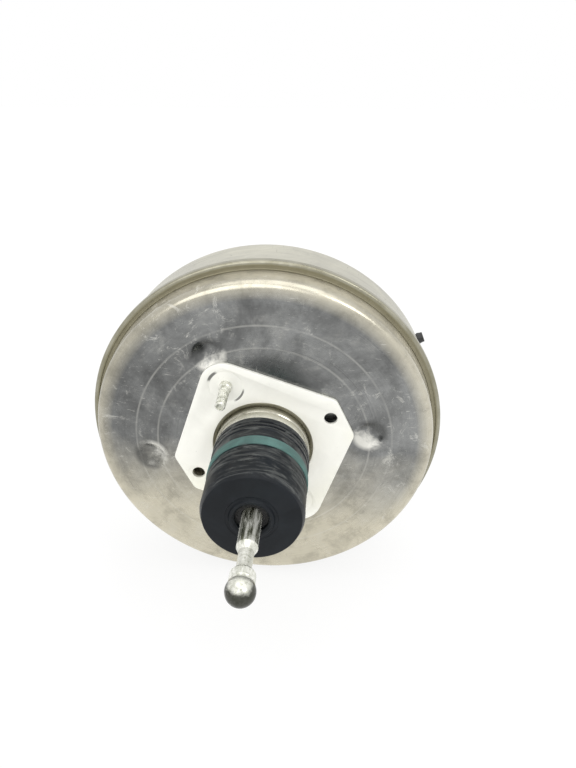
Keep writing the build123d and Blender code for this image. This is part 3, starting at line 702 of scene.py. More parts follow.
def pale_zinc():
    """Pale plated plate: nearly white, with soft marks, a yellow patch and painted shade on two arcs of a
    stud seat's edge.
    """
    material, g, place = new_finish("pale_zinc")
    colour = g.colour("plate")
    x, _, z = g.axes(place)
    cloud = g.noise(place, 22, 6, 0.65, 0.8)
    patch = g.noise(place, 9, 2, 0.5)
    speck = g.band(g.noise(place, 380, 3, 0.6), 0.68, 0.74)
    right = g.band(x, 0.03, 0.07)
    stud = on_circle(BOLT_R, STUD_CLOCK)
    seat_r = PAD_R - 0.4
    # Painted shade: two short dark arcs on the edge of the stud's seat.
    painted_shade = mark(g, x, z, stud, seat_r, 1.5, 140, 24) + mark(g, x, z, stud, seat_r, 0.9, -35, 30)
    yellow = g.band(patch + right * 0.12, 0.55, 0.75) * 0.6
    tone = g.mix(g.band(cloud, 0.35, 0.7), colour, shade(colour, 0.90))
    tone = g.mix(yellow, tone, g.colour("plate_stain"))
    tone = g.mix(speck * 0.35, tone, shade(colour, 0.55))
    tone = g.mix(painted_shade.math("MINIMUM", 1.0) * 0.9, tone, shade(colour, 0.12))
    g.surface(
        Base_Color=tone,
        Metallic=0.1,
        Roughness=g.band(cloud, 0.3, 0.7, 0.40, 0.55),
        Normal=g.bump(cloud + g.noise(place, 600, 2) * 0.2, 0.00006, 0.4),
    )
    return material


def plated_steel(name, slot, polish, streak, metal=0.8):
    """Zinc-plated turned steel: dark lengthwise streaks of painted reflection, dull stained spots and
    painted shade on the ball's underside.
    """
    material, g, place = new_finish(name)
    colour = g.colour(slot)
    dull = g.colour("zinc_stain_and_shade")
    _, y, z = g.axes(place)
    streaks = g.noise(g.stretched(place, (1.0, 0.10, 1.0)), 430, 5, 0.6, 0.3)
    stain = g.noise(place, 85, 7, 0.7, 0.9)
    fine = g.noise(place, 1500, 2)
    ball_end = g.band(y, -0.149, -0.152)
    # Painted shade: the ball's underside darker, in stained patches.
    painted_shade = ball_end * g.band(z + (stain - 0.5) * 0.010, 0.0080, 0.0048) * 0.95
    # Painted reflection: dark lengthwise streaks, more metallic, weaker past the shank's end.
    dark = g.band(streaks, 0.42, 0.62) * g.band(y, -0.1165, -0.1200, 1.0, 0.3) * streak
    tone = g.mix(dark, shade(colour, 1.05), shade(dull, 1.3))
    speck = g.noise(place, 420, 4, 0.7)
    tone = g.mix(g.band(speck, 0.5, 0.64) * 0.45, tone, dull)
    tone = g.mix(g.band(stain, 0.5, 0.66) * 0.35, tone, dull)
    tone = g.mix(painted_shade * g.band(stain, 0.25, 0.42), tone, shade(dull, 0.1))
    rough = g.band(stain, 0.35, 0.7, polish, polish + 0.16) + g.band(streaks, 0.3, 0.7, -0.03, 0.05)
    g.surface(
        Base_Color=tone,
        Metallic=dark * (1.0 - metal) + metal,
        Roughness=rough,
        Normal=g.bump(streaks + fine * 0.3, 0.00003, 0.5),
    )
    return material


def moulded_rubber(name, slot, gloss, dust):
    """Moulded rubber: worn bright streaks round it, a soft bloom, dust and fine pores."""
    material, g, place = new_finish(name)
    colour = g.colour(slot)
    paler_area = g.noise(place, 24, 6, 0.65, 0.8)
    smear = g.noise(g.stretched(place, (1.0, 4.5, 1.0)), 46, 7, 0.7, 1.0)
    pores = g.noise(place, 1400, 3)
    tone = g.mix(g.band(paler_area, 0.38, 0.66), colour, shade(colour, 1.8))
    wall = g.band(g.axes(place)[1], -0.0885, -0.0860)
    tone = g.mix(g.band(smear, 0.48, 0.64) * wall * dust, tone, g.colour("dust"))
    g.surface(
        Base_Color=tone,
        Roughness=g.band(smear, 0.36, 0.66, gloss, gloss + 0.2) - wall * 0.06 + 0.06,
        Specular_IOR_Level=0.2,
        Normal=g.bump(pores * 0.5 + paler_area * 0.9 + smear * 0.6, 0.00010, 0.5),
    )
    return material


def moulded_plastic(name, slot, gloss):
    """Moulded plastic with a faint grain."""
    material, g, place = new_finish(name)
    colour = g.colour(slot)
    grain = g.noise(place, 900, 4)
    cloud = g.noise(place, 40, 4)
    g.surface(
        Base_Color=g.mix(g.band(cloud, 0.35, 0.7), colour, shade(colour, 1.25)),
        Roughness=g.band(cloud, 0.3, 0.7, gloss, gloss + 0.12),
        Normal=g.bump(grain, 0.00005, 0.5),
    )
    return material


def open_foam(name, slot, cell):
    """Porous filter material with dark cells."""
    material, g, place = new_finish(name)
    colour = g.colour(slot)
    settings = {"Vector": place, "Scale": cell}
    cells = Signal(g, g.node("ShaderNodeTexVoronoi", inputs=settings).outputs["Distance"])
    g.surface(
        Base_Color=g.mix(g.band(cells, 0.1, 0.6), shade(colour, 0.35), colour),
        Roughness=0.95,
        Normal=g.bump(cells, 0.0006, 0.8),
    )
    return material


FINISHES = {}


def make_finishes():
    """All finishes by the slot they belong to."""
    FINISHES.update(
        rear_shell=spun_aluminium(),
        front_shell=drawn_aluminium(),
        plate=pale_zinc(),
        stud=plated_steel("stud_zinc", "zinc", 0.2, 0.45, 0.5),
        zinc_steel=plated_steel("rod_zinc", "zinc", 0.16, 1.0, 0.55),
        spring_steel=plated_steel("spring_wire", "spring", 0.3, 0.3),
        boot_rubber=moulded_rubber("boot_rubber", "boot", 0.28, 0.95),
        band_rubber=moulded_rubber("band_rubber", "band", 0.55, 0.3),
        seal_rubber=moulded_rubber("seal_rubber", "seal", 0.4, 0.1),
        guide_plastic=moulded_plastic("guide_plastic", "bush", 0.4),
        hub_plastic=moulded_plastic("hub_plastic", "hub", 0.45),
        black_plastic=moulded_plastic("black_plastic", "black_moulding", 0.35),
        filter_foam=open_foam("filter_foam", "foam", 900.0),
        filter_felt=open_foam("filter_felt", "felt", 1800.0),
    )


# ---- properties


def colour_property(label, words, default):
    return bpy.props.FloatVectorProperty(
        name=label, description=words, subtype="COLOR", size=3, min=0, max=1, default=default
    )


def length_property(label, words, default):
    """Length whose default is in millimetres."""
    return bpy.props.FloatProperty(name=label, description=words, unit="LENGTH", default=default * MM)


class BoosterFinishes(bpy.types.PropertyGroup):
    """Colours of the finishes"""

    rear_shell: colour_property(
        "Rear shell", "Dulled spun sheet of the rear shell", (0.255, 0.259, 0.255)
    )
    # Fresh metal in scuffs, dents and on the neck, also the painted highlights in the dents and on the ring
    # edges.
    bare_metal_and_highlight: colour_property(
        "Bare metal", "Fresh metal in scuffs, dents and on the neck", (0.76, 0.75, 0.69)
    )
    # Pale warm tone of the shell's wall, also the painted reflection of the floor on the face's lower half
    # and the painted highlight round the shoulder.
    shell_tone_and_reflection: colour_property("Shell stain", "Pale warm bloom on the rear shell", (0.64, 0.60, 0.48))
    front_shell: colour_property("Front shell", "Drawn sheet of the front shell", (0.60, 0.585, 0.50))
    rim_stain: colour_property("Rim stain", "Yellowed skin of the rolled rim", (0.23, 0.215, 0.145))
    # Painted shade in the crease behind the rim, in the front shell's inner lip and at the neck's foot.
    crease: colour_property(
        "Crease", "Grime in the crease behind the rim and at the neck's foot", (0.24, 0.22, 0.14)
    )
    plate: colour_property("Mounting plate", "Pale plating of the mounting plate", (0.95, 0.945, 0.88))
    plate_stain: colour_property("Plate stain", "Yellow passivation on the plate", (0.86, 0.84, 0.62))
    zinc: colour_property("Zinc", "Plated rod and studs", (0.83, 0.83, 0.77))
    # Dull spots on the plated steel, also its painted reflection streaks and painted shade.
    zinc_stain_and_shade: colour_property("Zinc stain", "Dull spots on the plated steel", (0.22, 0.23, 0.15))
    spring: colour_property("Spring wire", "Drawn spring wire", (0.40, 0.41, 0.42))
    boot: colour_property("Boot", "Rubber of the dust boot", (0.006, 0.0078, 0.010))
    band: colour_property("Band", "Coloured band round the boot", (0.065, 0.125, 0.115))
    seal: colour_property("Seals", "Rubber of the seals and diaphragm", (0.02, 0.02, 0.022))
    dust: colour_property("Dust", "Dust on the rubber", (0.10, 0.105, 0.102))
    bush: colour_property("Guide bush", "Plastic of the guide bush", (0.70, 0.67, 0.58))
    hub: colour_property("Valve body", "Plastic of the valve body", (0.07, 0.07, 0.07))
    black_moulding: colour_property("Black moulding", "Check valve and retainer", (0.02, 0.02, 0.02))
    foam: colour_property("Filter foam", "Open foam of the air filter", (0.030, 0.030, 0.030))
    felt: colour_property("Filter felt", "Felt of the air silencer", (0.52, 0.50, 0.43))


class BoosterSizes(bpy.types.PropertyGroup):
    """Sizes of the details"""

    wave_height: length_property("Boot wave", "Height of the waves in the boot's wall", 0.35)
    ring_height: length_property("Cuff ring", "Height of the rings on the boot's cuff", 1.0)


# ---- operators


class BOOSTER_OT_finishes(bpy.types.Operator):
    """Make the finishes and put them on the solids that stay as they are"""

    bl_idname = "booster.finishes"
    bl_label = "Finishes"

    def execute(self, context):
        make_finishes()
        for part in frame["record"]["subparts"]:
            solid_object = frame["nodes"][part["node"]]
            solid_object.data.materials.clear()
            solid_object.data.materials.append(FINISHES[part["material_slot"]])
        return {"FINISHED"}


def dent_shift(distance):
    """How far a dent pushes the sheet in: a bowl that meets the face in a rounded lip."""
    if distance < DENT_MEET_R:
        return DENT_DEPTH - DENT_BOWL_R + math.sqrt(DENT_BOWL_R**2 - distance**2)
    return DENT_LIP_R - math.sqrt(DENT_LIP_R**2 - (DENT_R - distance) ** 2) - DENT_LIP_RISE


def cup_shift(distance):
    """Depth of the blind cup behind an open hole."""
    share = min(1.0, max(0.0, (distance - CUP_R) / CUP_ROUND))
    return CUP_DEPTH * (1 - share * share * (3 - 2 * share))


def press_face(mesh):
    """Presses the dents and the blind cups into the rear shell's face."""
    presses = [(on_circle(radius, angle), DENT_R, dent_shift) for radius, angle in DENTS]
    for side in (0, 180):
        presses.append((on_circle(BOLT_R, HOLE_CLOCK + side), CUP_R + CUP_ROUND, cup_shift))
    for vert in mesh.vertices:
        if not (FACE_Y - 1) * MM <= vert.co.y <= (LEDGE_Y + 1) * MM:
            continue
        for (x, _, z), reach, shift in presses:
            distance = math.hypot(vert.co.x / MM - x, vert.co.z / MM - z)
            if distance < reach:
                vert.co.y += shift(distance) * MM


class BOOSTER_OT_drum(bpy.types.Operator):
    """Build the two pressed shells of the drum"""

    bl_idname = "booster.drum"
    bl_label = "Drum"

    def execute(self, context):
        rear = [
            (NECK_END_R - NECK_LIP, NECK_END_Y, 0),
            (NECK_END_R, NECK_END_Y, 0.8),
            (NECK_END_R, NECK_SHOULDER_Y, 0),
            (NECK_R, NECK_SHOULDER_Y, 0.8),
            (NECK_R, NECK_MID_Y, 0.5),
            (NECK_FOOT_R, NECK_FOOT_Y, 0.5),
            (NECK_FOOT_R, FACE_Y, 2.8),
            (FACE_CONE_R, FACE_Y, FACE_CONE_BEND),
            (REAR_SHOULDER_R, LEDGE_Y, 6.5),
            (REAR_WALL_R, FLANGE_Y, 1.0),
            (REAR_FLANGE_R, FLANGE_Y, 0),
        ]
        points = divided(rounded(rear), 1.5, FINE_RADII)
        piece = spin("rear_shell_skin", points, False, SPIN_SEGMENTS)
        press_face(piece.data)
        thicken(piece, SHEET)
        smooth(piece)
        fix_to(piece, "housing", "rear_shell", "rear_shell")

        front = [
            (RIM_R - RIM_HEM, RIM_BACK_Y, 0),
            (RIM_R, RIM_BACK_Y, 1.9),
            (RIM_R, RIM_FRONT_Y, 1.9),
            (FRONT_BEAD_R, RIM_FRONT_Y, 0.9),
            (FRONT_BEAD_R, 54.5, 0.8),
            (FRONT_WALL_R, 55.5, 0.8),
            (FRONT_WALL_R, FRONT_LEDGE_Y, 8.0),
            (FRONT_STEP_R, FRONT_LEDGE_Y, 6.0),
            (FRONT_FACE_R, FRONT_FACE_Y, 8.0),
            (SPIGOT_HOLE_R, FRONT_FACE_Y, 0),
        ]
        piece = spin("front_shell_skin", divided(rounded(front), 6.0), False, SPIN_SEGMENTS)
        thicken(piece, SHEET)
        holes = [(on_circle(CHECK_R, CHECK_CLOCK, FRONT_LEDGE_Y), CHECK_HOLE_R)]
        for side in (0, 180):
            place = on_circle(FRONT_BOLT_R, PLATE_CLOCK + side, FRONT_FACE_Y)
            holes.append((place, STUD_HOLE_R))
        drills = []
        for place, radius in holes:
            outline = [(0, -4, 0), (radius, -4, 0), (radius, 4, 0), (0, 4, 0)]
            drill = solid("drill", outline, SMALL_SEGMENTS)
            move(drill, place)
            drills.append(drill)
        cut(piece, join("drills", drills))
        smooth(piece)
        fix_to(piece, "housing", "front_shell", "front_shell")
        return {"FINISHED"}


def plate_outline():
    """Outer corners of the mounting plate in its own two directions, each with its rounding."""
    u, v, cut_size = PLATE_HALF_U, PLATE_HALF_V, PLATE_CUT
    half = [
        (u, v - cut_size, PLATE_CUT_ROUND),
        (u - cut_size, v, PLATE_CUT_ROUND),
        (-u, v, PLATE_ROUND),
    ]
    return half + [(-first, -second, bend) for first, second, bend in half]


def flat_loop(curve, points):
    """Adds a closed loop to a flat curve."""
    spline = curve.splines.new("POLY")
    spline.points.add(len(points) - 1)
    for point, place in zip(spline.points, points):
        point.co = (place[0], place[1], 0, 1)
    spline.use_cyclic_u = True


def circle_points(radius, centre_u, centre_v):
    """Points round a circle in the plate's plane, in metres."""
    points = []
    for index in range(FINE_SEGMENTS):
        turn = 2 * math.pi * index / FINE_SEGMENTS
        u = centre_u + radius * math.cos(turn)
        v = centre_v + radius * math.sin(turn)
        points.append((u * MM, v * MM))
    return points


class BOOSTER_OT_mounting_plate(bpy.types.Operator):
    """Build the mounting plate with its holes, soft edges and stud seats"""

    bl_idname = "booster.mounting_plate"
    bl_label = "Mounting plate"

    def execute(self, context):
        curve = bpy.data.curves.new("plate", "CURVE")
        curve.dimensions = "2D"
        curve.fill_mode = "BOTH"
        curve.extrude = (PLATE_T / 2 - PLATE_EDGE) * MM
        curve.bevel_depth = PLATE_EDGE * MM
        curve.bevel_resolution = 2
        curve.offset = -PLATE_EDGE * MM
        flat_loop(curve, rounded(plate_outline(), closed=True))
        holes = [(PLATE_BORE_R, 0.0, 0.0)]
        for clock, radius in ((HOLE_CLOCK, BOLT_HOLE_R), (STUD_CLOCK, STUD_HOLE_R)):
            for side in (0, 180):
                u, _, v = on_circle(BOLT_R, clock + side - PLATE_CLOCK)
                holes.append((radius, u, v))
        for radius, u, v in holes:
            flat_loop(curve, circle_points(radius, u, v))
        piece = link("mounting_plate_blank", curve)
        graph = bpy.context.evaluated_depsgraph_get()
        mesh = bpy.data.meshes.new_from_object(piece.evaluated_get(graph))
        bpy.data.objects.remove(piece)
        piece = link("mounting_plate_skin", mesh)
        upright = Matrix.Rotation(math.radians(90), 4, "X")
        clocked = Matrix.Rotation(-math.radians(PLATE_CLOCK), 4, "Y")
        move(piece, (0, PLATE_T / 2, 0), clocked @ upright)
        work = bmesh.new()
        work.from_mesh(piece.data)
        bmesh.ops.remove_doubles(work, verts=work.verts, dist=1e-6)
        bmesh.ops.recalc_face_normals(work, faces=work.faces)
        work.to_mesh(piece.data)
        work.free()
        presses = []
        for side in (0, 180):
            pad = [
                (0, -2, 0),
                (PAD_R + 1.6, -2, 0),
                (PAD_R + 0.6, -0.2, 0.6),
                (PAD_R - 1.4, PAD_DEPTH, 1.2),
                (0, PAD_DEPTH, 0),
            ]
            press = solid("press", pad)
            move(press, on_circle(BOLT_R, STUD_CLOCK + side))
            presses.append(press)
        cut(piece, join("presses", presses))
        smooth(piece)
        fix_to(piece, "housing", "mounting_plate", "plate")
        return {"FINISHED"}


def threaded_stud(name, finish, head_y, collar_y, length):
    """Stud along +Y from its seat at y = 0, with a headed foot, a plain collar and a threaded shank."""
    core = [
        (0, head_y - STUD_HEAD_T, 0),
        (STUD_HEAD_R, head_y - STUD_HEAD_T, 0.6),
        (STUD_HEAD_R, head_y, 0.6),
        (STUD_COLLAR_R, head_y, 0),
        (STUD_COLLAR_R, collar_y, 0.3),
        (STUD_R, collar_y + 0.8, 0),
        (STUD_R, collar_y + 2.0, 0.2),
        (STUD_CORE_R, collar_y + 2.6, 0.2),
        (STUD_CORE_R, length - 1.6, 0),
        (STUD_R - 0.1, length - 1.2, 0),
        (STUD_R - 0.8, length, 0.2),
        (2.5, length, 0.2),
        (2.0, length - 1.4, 0.3),
        (0, length - 1.6, 0),
    ]
    body = solid("core", core)
    start, end = collar_y + 2.2, length - 1.0
    ridge = (STUD_R - STUD_CORE_R) / 1.5
    turns = (end - start - 2 * ridge) / THREAD_PITCH
    thread = helix("thread", finish, start, end, STUD_R - ridge, ridge, turns, 3, 24)
    return join(name, [body, thread])


class BOOSTER_OT_studs(bpy.types.Operator):
    """Build the threaded studs on both sides of the drum"""

    bl_idname = "booster.studs"
    bl_label = "Studs"

    def execute(self, context):
        finish = FINISHES["stud"]
        rear = []
        front = []
        for side in (0, 180):
            head_y = -(PLATE_T + SHEET)
            stud = threaded_stud("rear_stud", finish, head_y, 3.5, REAR_STUD_LENGTH)
            move(stud, on_circle(BOLT_R, STUD_CLOCK + side), Matrix.Rotation(math.pi, 4, "X"))
            rear.append(stud)
            head_y = -(FRONT_BRACE_T + SHEET)
            stud = threaded_stud("front_stud", finish, head_y, 1.5, FRONT_STUD_LENGTH)
            move(stud, on_circle(FRONT_BOLT_R, PLATE_CLOCK + side, FRONT_FACE_Y))
            front.append(stud)
        fix_to(join("mounting_stud_set", rear), "housing", "mounting_studs", "stud")
        fix_to(join("front_stud_set", front), "housing", "master_cylinder_studs", "stud")
        return {"FINISHED"}


class BOOSTER_OT_dust_boot(bpy.types.Operator):
    """Build the dust boot, with its ringed cuff, waved wall and lipped face, and its band"""

    bl_idname = "booster.dust_boot"
    bl_label = "Dust boot"

    def execute(self, context):
        sizes = context.scene.booster_sizes
        ring = sizes.ring_height / MM
        wave = sizes.wave_height / MM
        wall = [(NECK_END_R, NECK_SHOULDER_Y, 0), (BOOT_R + ring, NECK_SHOULDER_Y, 0.5)]
        for start, end in BOOT_GROOVES:
            wall += [
                (BOOT_R + ring, start, 0.4),
                (BOOT_R - 0.4, start - 0.5, 0.3),
                (BOOT_R - 0.4, end, 0.3),
                (BOOT_R + ring * 0.7, end - 0.5, 0.4),
            ]
        wall += [(BOOT_R + 0.7, -31.4, 0.4), (BOOT_R, -32.4, 0.4), (BOOT_R, BAND_Y + 1, 0.5)]
        start = BAND_Y - BAND_W - 0.8
        end = BOOT_TAIL_Y + 2.0
        for step in range(BOOT_WAVE_STEPS + 1):
            y = start + (end - start) * step / BOOT_WAVE_STEPS
            fade = max(0.0, 1 - 1.4 * step / BOOT_WAVE_STEPS)
            phase = 2 * math.pi * (start - y) / BOOT_WAVE_LENGTH
            wall.append((BOOT_R + wave * fade * (0.5 - 0.5 * math.cos(phase)), y, 0))
        face = [
            (BOOT_R, BOOT_END_Y + 5.3, 1.0),
            (BOOT_R - 2.0, BOOT_END_Y, 0.9),
            (19.0, BOOT_END_Y, 0.8),
            (18.2, BOOT_END_Y + 0.5, 0.5),
            (16.4, BOOT_END_Y + 0.5, 0.4),
            (15.5, BOOT_END_Y - 1.2, 0.5),
            (13.6, BOOT_END_Y - 1.2, 0.5),
            (12.0, BOOT_END_Y + 0.2, 0.5),
            (12.0, BOOT_TAIL_Y, 0),
        ]
        groove_in, groove_out = TAIL_GROOVE_R
        inside = [
            (groove_in, BOOT_TAIL_Y, 0),
            (groove_in, BOOT_TAIL_Y + 8.0, 0.5),
            (groove_out, BOOT_TAIL_Y + 8.0, 0.5),
            (groove_out, BOOT_TAIL_Y, 0),
            (BOOT_R - BOOT_WALL, BOOT_TAIL_Y, 0.5),
            (BOOT_R - BOOT_WALL, NECK_END_Y - 0.1, 0),
            (NECK_END_R + 0.05, NECK_END_Y - 0.1, 0),
        ]
        outline = (wall + face + inside)[::-1]
        piece = solid("dust_boot_skin", outline, SOFT_SEGMENTS)
        ends = (BOOT_STILL_Y, BOOT_MOVING_Y)
        stretch_between(piece, "housing", "power_piston", *ends, "dust_boot", "boot_rubber")
        outer, inner = BOOT_R + 0.85, BOOT_R - 0.2
        band = [
            (inner, BAND_Y - BAND_W, 0),
            (outer, BAND_Y - BAND_W, 0.4),
            (outer + 0.1, BAND_Y - BAND_W / 2, 2.0),
            (outer, BAND_Y, 0.4),
            (inner, BAND_Y, 0),
        ]
        piece = solid("boot_band_skin", band, SOFT_SEGMENTS)
        stretch_between(piece, "housing", "power_piston", *ends, "boot_band", "band_rubber")
        return {"FINISHED"}


class BOOSTER_OT_pedal_rod(bpy.types.Operator):
    """Build the pedal rod with its stepped shank, neck, collar and ball"""

    bl_idname = "booster.pedal_rod"
    bl_label = "Pedal rod"

    def execute(self, context):
        meet = math.asin(ROD_COLLAR_R / PEDAL_BALL_R)
        meet_y = PEDAL_BALL_Y + PEDAL_BALL_R * math.cos(meet)
        ball = arc(PEDAL_BALL_Y, PEDAL_BALL_R, math.degrees(meet), 180, 48)
        tip = [(max(0.0, radius), y, 0) for radius, y, _ in ball]
        waist = math.degrees(math.asin(ROD_WAIST_R / SOCKET_BALL_R))
        socket = arc(SOCKET_Y, SOCKET_BALL_R, 0, 180 - waist, 32)
        shaft = [
            (ROD_WAIST_R, -43.0, 0.5),
            (ROD_FRONT_R, -44.8, 0.4),
            (ROD_FRONT_R, ROD_SHOULDER_Y, 0),
            (ROD_R, ROD_SHOULDER_Y, 0.4),
            (ROD_R, -118.0, 1.2),
            (5.2, -122.7, 1.5),
            (ROD_NECK_R, ROD_COLLAR_Y, 0.4),
            (6.8, ROD_COLLAR_Y, 0.6),
            (ROD_COLLAR_R, -142.5, 0.8),
            (ROD_COLLAR_R, -148.6, 0.3),
            (ROD_COLLAR_R - 0.4, -149.1, 0.2),
            (ROD_COLLAR_R - 0.4, meet_y + 0.2, 0),
        ]
        outline = (socket + shaft + tip)[::-1]
        piece = solid("pedal_rod_skin", outline)
        fix_to(piece, "pedal_rod", "input_rod", "zinc_steel")
        return {"FINISHED"}


class BOOSTER_OT_springs(bpy.types.Operator):
    """Wind the four springs, each held between the two pieces that it pushes apart"""

    bl_idname = "booster.springs"
    bl_label = "Springs"

    def execute(self, context):
        finish = FINISHES["spring_steel"]
        # Node, radii of the coil and the wire, turns, room at the low end, bodies, and their ends on Y
        springs = (
            ("return_spring", 27.0, 2.0, 5, 0.0, "housing", "power_piston", (107.5, 24.0)),
            ("rod_return_spring", 13.8, 0.8, 3, 1.2, "power_piston", "control_plunger", (-57.0, -68.0)),
            ("poppet_spring", 14.35, 0.45, 3, 0.0, "power_piston", "control_plunger", (-55.0, -42.0)),
            ("check_valve_spring", 3.6, 0.35, 3, 0.0, "housing", "check_valve_plate", None),
        )
        for node, coil_r, wire, turns, room, still, moving, seats in springs:
            low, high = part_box(node)
            start, end = low.y / MM + room, high.y / MM
            piece = helix(f"{node}_coil", finish, start, end, coil_r, wire, turns)
            middle = (low + high) / 2 / MM
            move(piece, (middle.x, 0, middle.z) if seats is None else (0, 0, 0))
            ends = seats or (high.y / MM, low.y / MM)
            stretch_between(piece, still, moving, *ends, node, "spring_steel")
        return {"FINISHED"}


class BOOSTER_OT_diaphragm(bpy.types.Operator):
    """Build the rolling diaphragm between the drum's rim and the valve body"""

    bl_idname = "booster.diaphragm"
    bl_label = "Diaphragm"

    def execute(self, context):
        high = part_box("diaphragm")[1]
        edge_r, front_y = high.x / MM, high.y / MM
        skin = [
            (DISC_R, 11.0, 0.4),
            (DISC_BEAD_R, 11.0, 1.0),
            (DISC_BEAD_R, 13.9, 0.6),
            (FOLD_R, 13.9, 3.2),
            (FOLD_R, 31.0, 0.8),
            (edge_r, 31.0, 0.5),
            (edge_r, front_y, 0.5),
            (FOLD_R - 1.6, front_y, 0.5),
            (FOLD_R - 1.6, DISC_Y, 1.6),
            (DISC_R, DISC_Y, 0.4),
        ]
        piece = solid("diaphragm_skin", skin, SOFT_SEGMENTS)
        ends = (DIAPHRAGM_STILL_Y, DIAPHRAGM_MOVING_Y)
        stretch_between(piece, "housing", "power_piston", *ends, "diaphragm", "seal_rubber")
        return {"FINISHED"}


class BOOSTER_OT_hose_spigot(bpy.types.Operator):
    """Build the check valve's elbow with its barbed hose spigot"""

    bl_idname = "booster.hose_spigot"
    bl_label = "Hose spigot"

    def execute(self, context):
        head = [
            (3.0, 84.0, 0),
            (6.5, 84.0, 0.6),
            (6.5, 93.4, 0),
            (9.0, 93.4, 0.5),
            (9.0, 106.4, 0.4),
            (6.2, 106.4, 0),
            (6.2, 95.4, 0),
            (3.0, 95.4, 0),
        ]
        spigot = [(HOSE_BORE_R, 7.5, 0), (HOSE_PIPE_R, 7.5, 0)]
        for barb in HOSE_BARBS:
            spigot += [(HOSE_PIPE_R, barb, 0), (HOSE_BARB_R, barb, 0.25), (HOSE_PIPE_R, barb + 3.2, 0.3)]
        spigot += [(HOSE_PIPE_R, HOSE_REACH, 0.4), (HOSE_BORE_R, HOSE_REACH, 0.2)]
        pipe = solid("pipe", spigot[::-1], SMALL_SEGMENTS)
        outward = Matrix.Rotation(-math.pi / 2, 4, "Z")
        clocked = Matrix.Rotation(-math.radians(CHECK_CLOCK), 4, "Y")
        move(pipe, on_circle(CHECK_R, CHECK_CLOCK, HOSE_Y), clocked @ outward)
        body = solid("body", head[::-1], SMALL_SEGMENTS)
        move(body, on_circle(CHECK_R, CHECK_CLOCK))
        elbow = join("check_valve_elbow", [body, pipe])
        fix_to(elbow, "housing", "check_valve_body", "black_plastic")
        return {"FINISHED"}


# ---- stage


def add_camera():
    """Camera on its three directions, framed for an upright picture."""
    data = bpy.data.cameras.new("camera")
    data.sensor_fit = "VERTICAL"
    data.sensor_height = SENSOR_HEIGHT
    data.lens = FOCAL_PIXELS / PICTURE_HEIGHT * SENSOR_HEIGHT
    data.clip_start = 0.01
    camera = link("camera", data)
    columns = (Vector(CAMERA_RIGHT), -Vector(CAMERA_DOWN), -Vector(CAMERA_FORWARD))
    turn = Matrix(columns).transposed().to_4x4()
    camera.matrix_world = Matrix.Translation(Vector(CAMERA_PLACE) * MM) @ turn
    bpy.context.scene.camera = camera


def add_sun(name, place, spread, power):
    """Sun that shines from a place towards the origin, as wide as a studio's soft box."""
    data = bpy.data.lights.new(name, "SUN")
    data.energy = power
    data.angle = math.radians(spread)
    data.color = LAMP_COLOUR
    lamp = link(name, data)
    lamp.rotation_euler = Vector(place).to_track_quat("Z", "Y").to_euler()


def background_rays(g):
    """Rays that show the white background: the camera's own, and those that metal and glass send out."""
    rays = g.node("ShaderNodeLightPath").outputs
    shown = Signal(g, rays["Is Camera Ray"]) + Signal(g, rays["Is Glossy Ray"])
    return (shown + Signal(g, rays["Is Transmission Ray"])).math("MINIMUM", 1.0)


def add_floor():
    """Pale floor just under the drum."""
    mesh = bpy.data.meshes.new("floor")
    ground = GROUND_Z - FLOOR_GAP
    signs = ((-1, -1), (1, -1), (1, 1), (-1, 1))
    corners = [(x * FLOOR_HALF, y * FLOOR_HALF, ground) for x, y in signs]
    mesh.from_pydata(corners, [], [(0, 1, 2, 3)])
    floor = link("floor", mesh)
    material = bpy.data.materials.new("floor_white")
    g = Graph(material)
    lit = g.node("ShaderNodeBsdfDiffuse", inputs={"Color": FLOOR_COLOUR})
    white = g.node("ShaderNodeEmission", inputs={"Color": WHITE, "Strength": 1.0})
    whole = g.share(background_rays(g) * FLOOR_WHITE_SHARE, lit, white)
    g.show("ShaderNodeOutputMaterial", whole)
    mesh.materials.append(material)


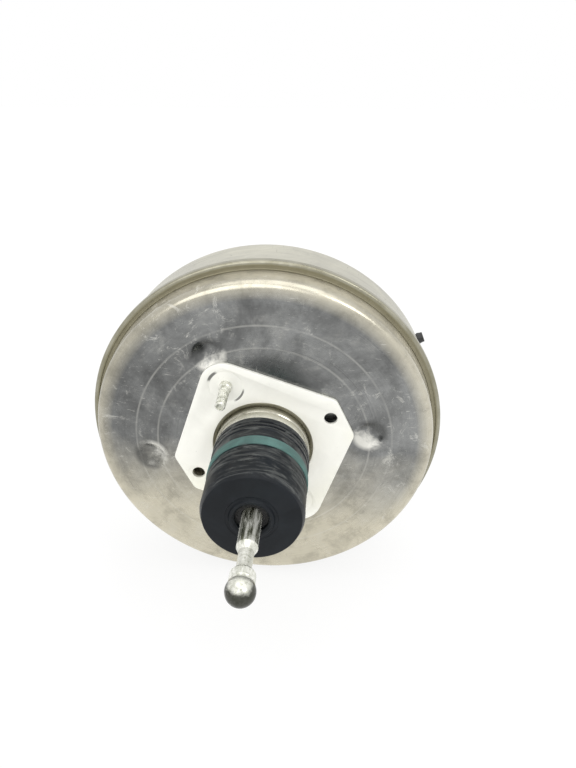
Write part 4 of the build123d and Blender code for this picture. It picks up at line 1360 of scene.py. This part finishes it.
def add_world():
    """White background, and soft even light on the object."""
    world = bpy.data.worlds.new("studio")
    bpy.context.scene.world = world
    g = Graph(world)
    soft, white = [
        g.node("ShaderNodeBackground", inputs={"Color": WHITE, "Strength": strength})
        for strength in (SOFT_LIGHT, 1.0)
    ]
    g.show("ShaderNodeOutputWorld", g.share(background_rays(g), soft, white))


class BOOSTER_OT_stage(bpy.types.Operator):
    """Set the camera, the floor, the lamps and the world"""

    bl_idname = "booster.stage"
    bl_label = "Stage"

    def execute(self, context):
        add_camera()
        add_floor()
        add_world()
        add_sun("overhead", (0.05, 0.1, 1.0), 60, 0.7)
        add_sun("window", (0.62, -0.42, 0.70), 22, 0.5)
        add_sun("front", (-0.35, -1.0, 0.75), 50, 0.8)
        context.scene.view_settings.view_transform = "Standard"
        return {"FINISHED"}


# ---- panel


class BOOSTER_PT_panel(bpy.types.Panel):
    """Sidebar panel with the builder's steps"""

    bl_label = "Booster"
    bl_idname = "BOOSTER_PT_panel"
    bl_space_type = "VIEW_3D"
    bl_region_type = "UI"
    bl_category = "Booster"

    def draw(self, context):
        for step in STEPS:
            self.layout.operator(step.bl_idname)


STEPS = (
    BOOSTER_OT_finishes,
    BOOSTER_OT_drum,
    BOOSTER_OT_mounting_plate,
    BOOSTER_OT_studs,
    BOOSTER_OT_dust_boot,
    BOOSTER_OT_pedal_rod,
    BOOSTER_OT_springs,
    BOOSTER_OT_diaphragm,
    BOOSTER_OT_hose_spigot,
    BOOSTER_OT_stage,
)
CLASSES = (BoosterFinishes, BoosterSizes, *STEPS, BOOSTER_PT_panel)


def register():
    for item in CLASSES:
        bpy.utils.register_class(item)
    bpy.types.Scene.booster_finishes = bpy.props.PointerProperty(type=BoosterFinishes)
    bpy.types.Scene.booster_sizes = bpy.props.PointerProperty(type=BoosterSizes)


def unregister():
    del bpy.types.Scene.booster_sizes
    del bpy.types.Scene.booster_finishes
    for item in reversed(CLASSES):
        bpy.utils.unregister_class(item)


def main():
    """Runs every step in order."""
    register()
    for step in STEPS:
        family, action = step.bl_idname.split(".")
        getattr(getattr(bpy.ops, family), action)()


if __name__ == "__main__":
    main()
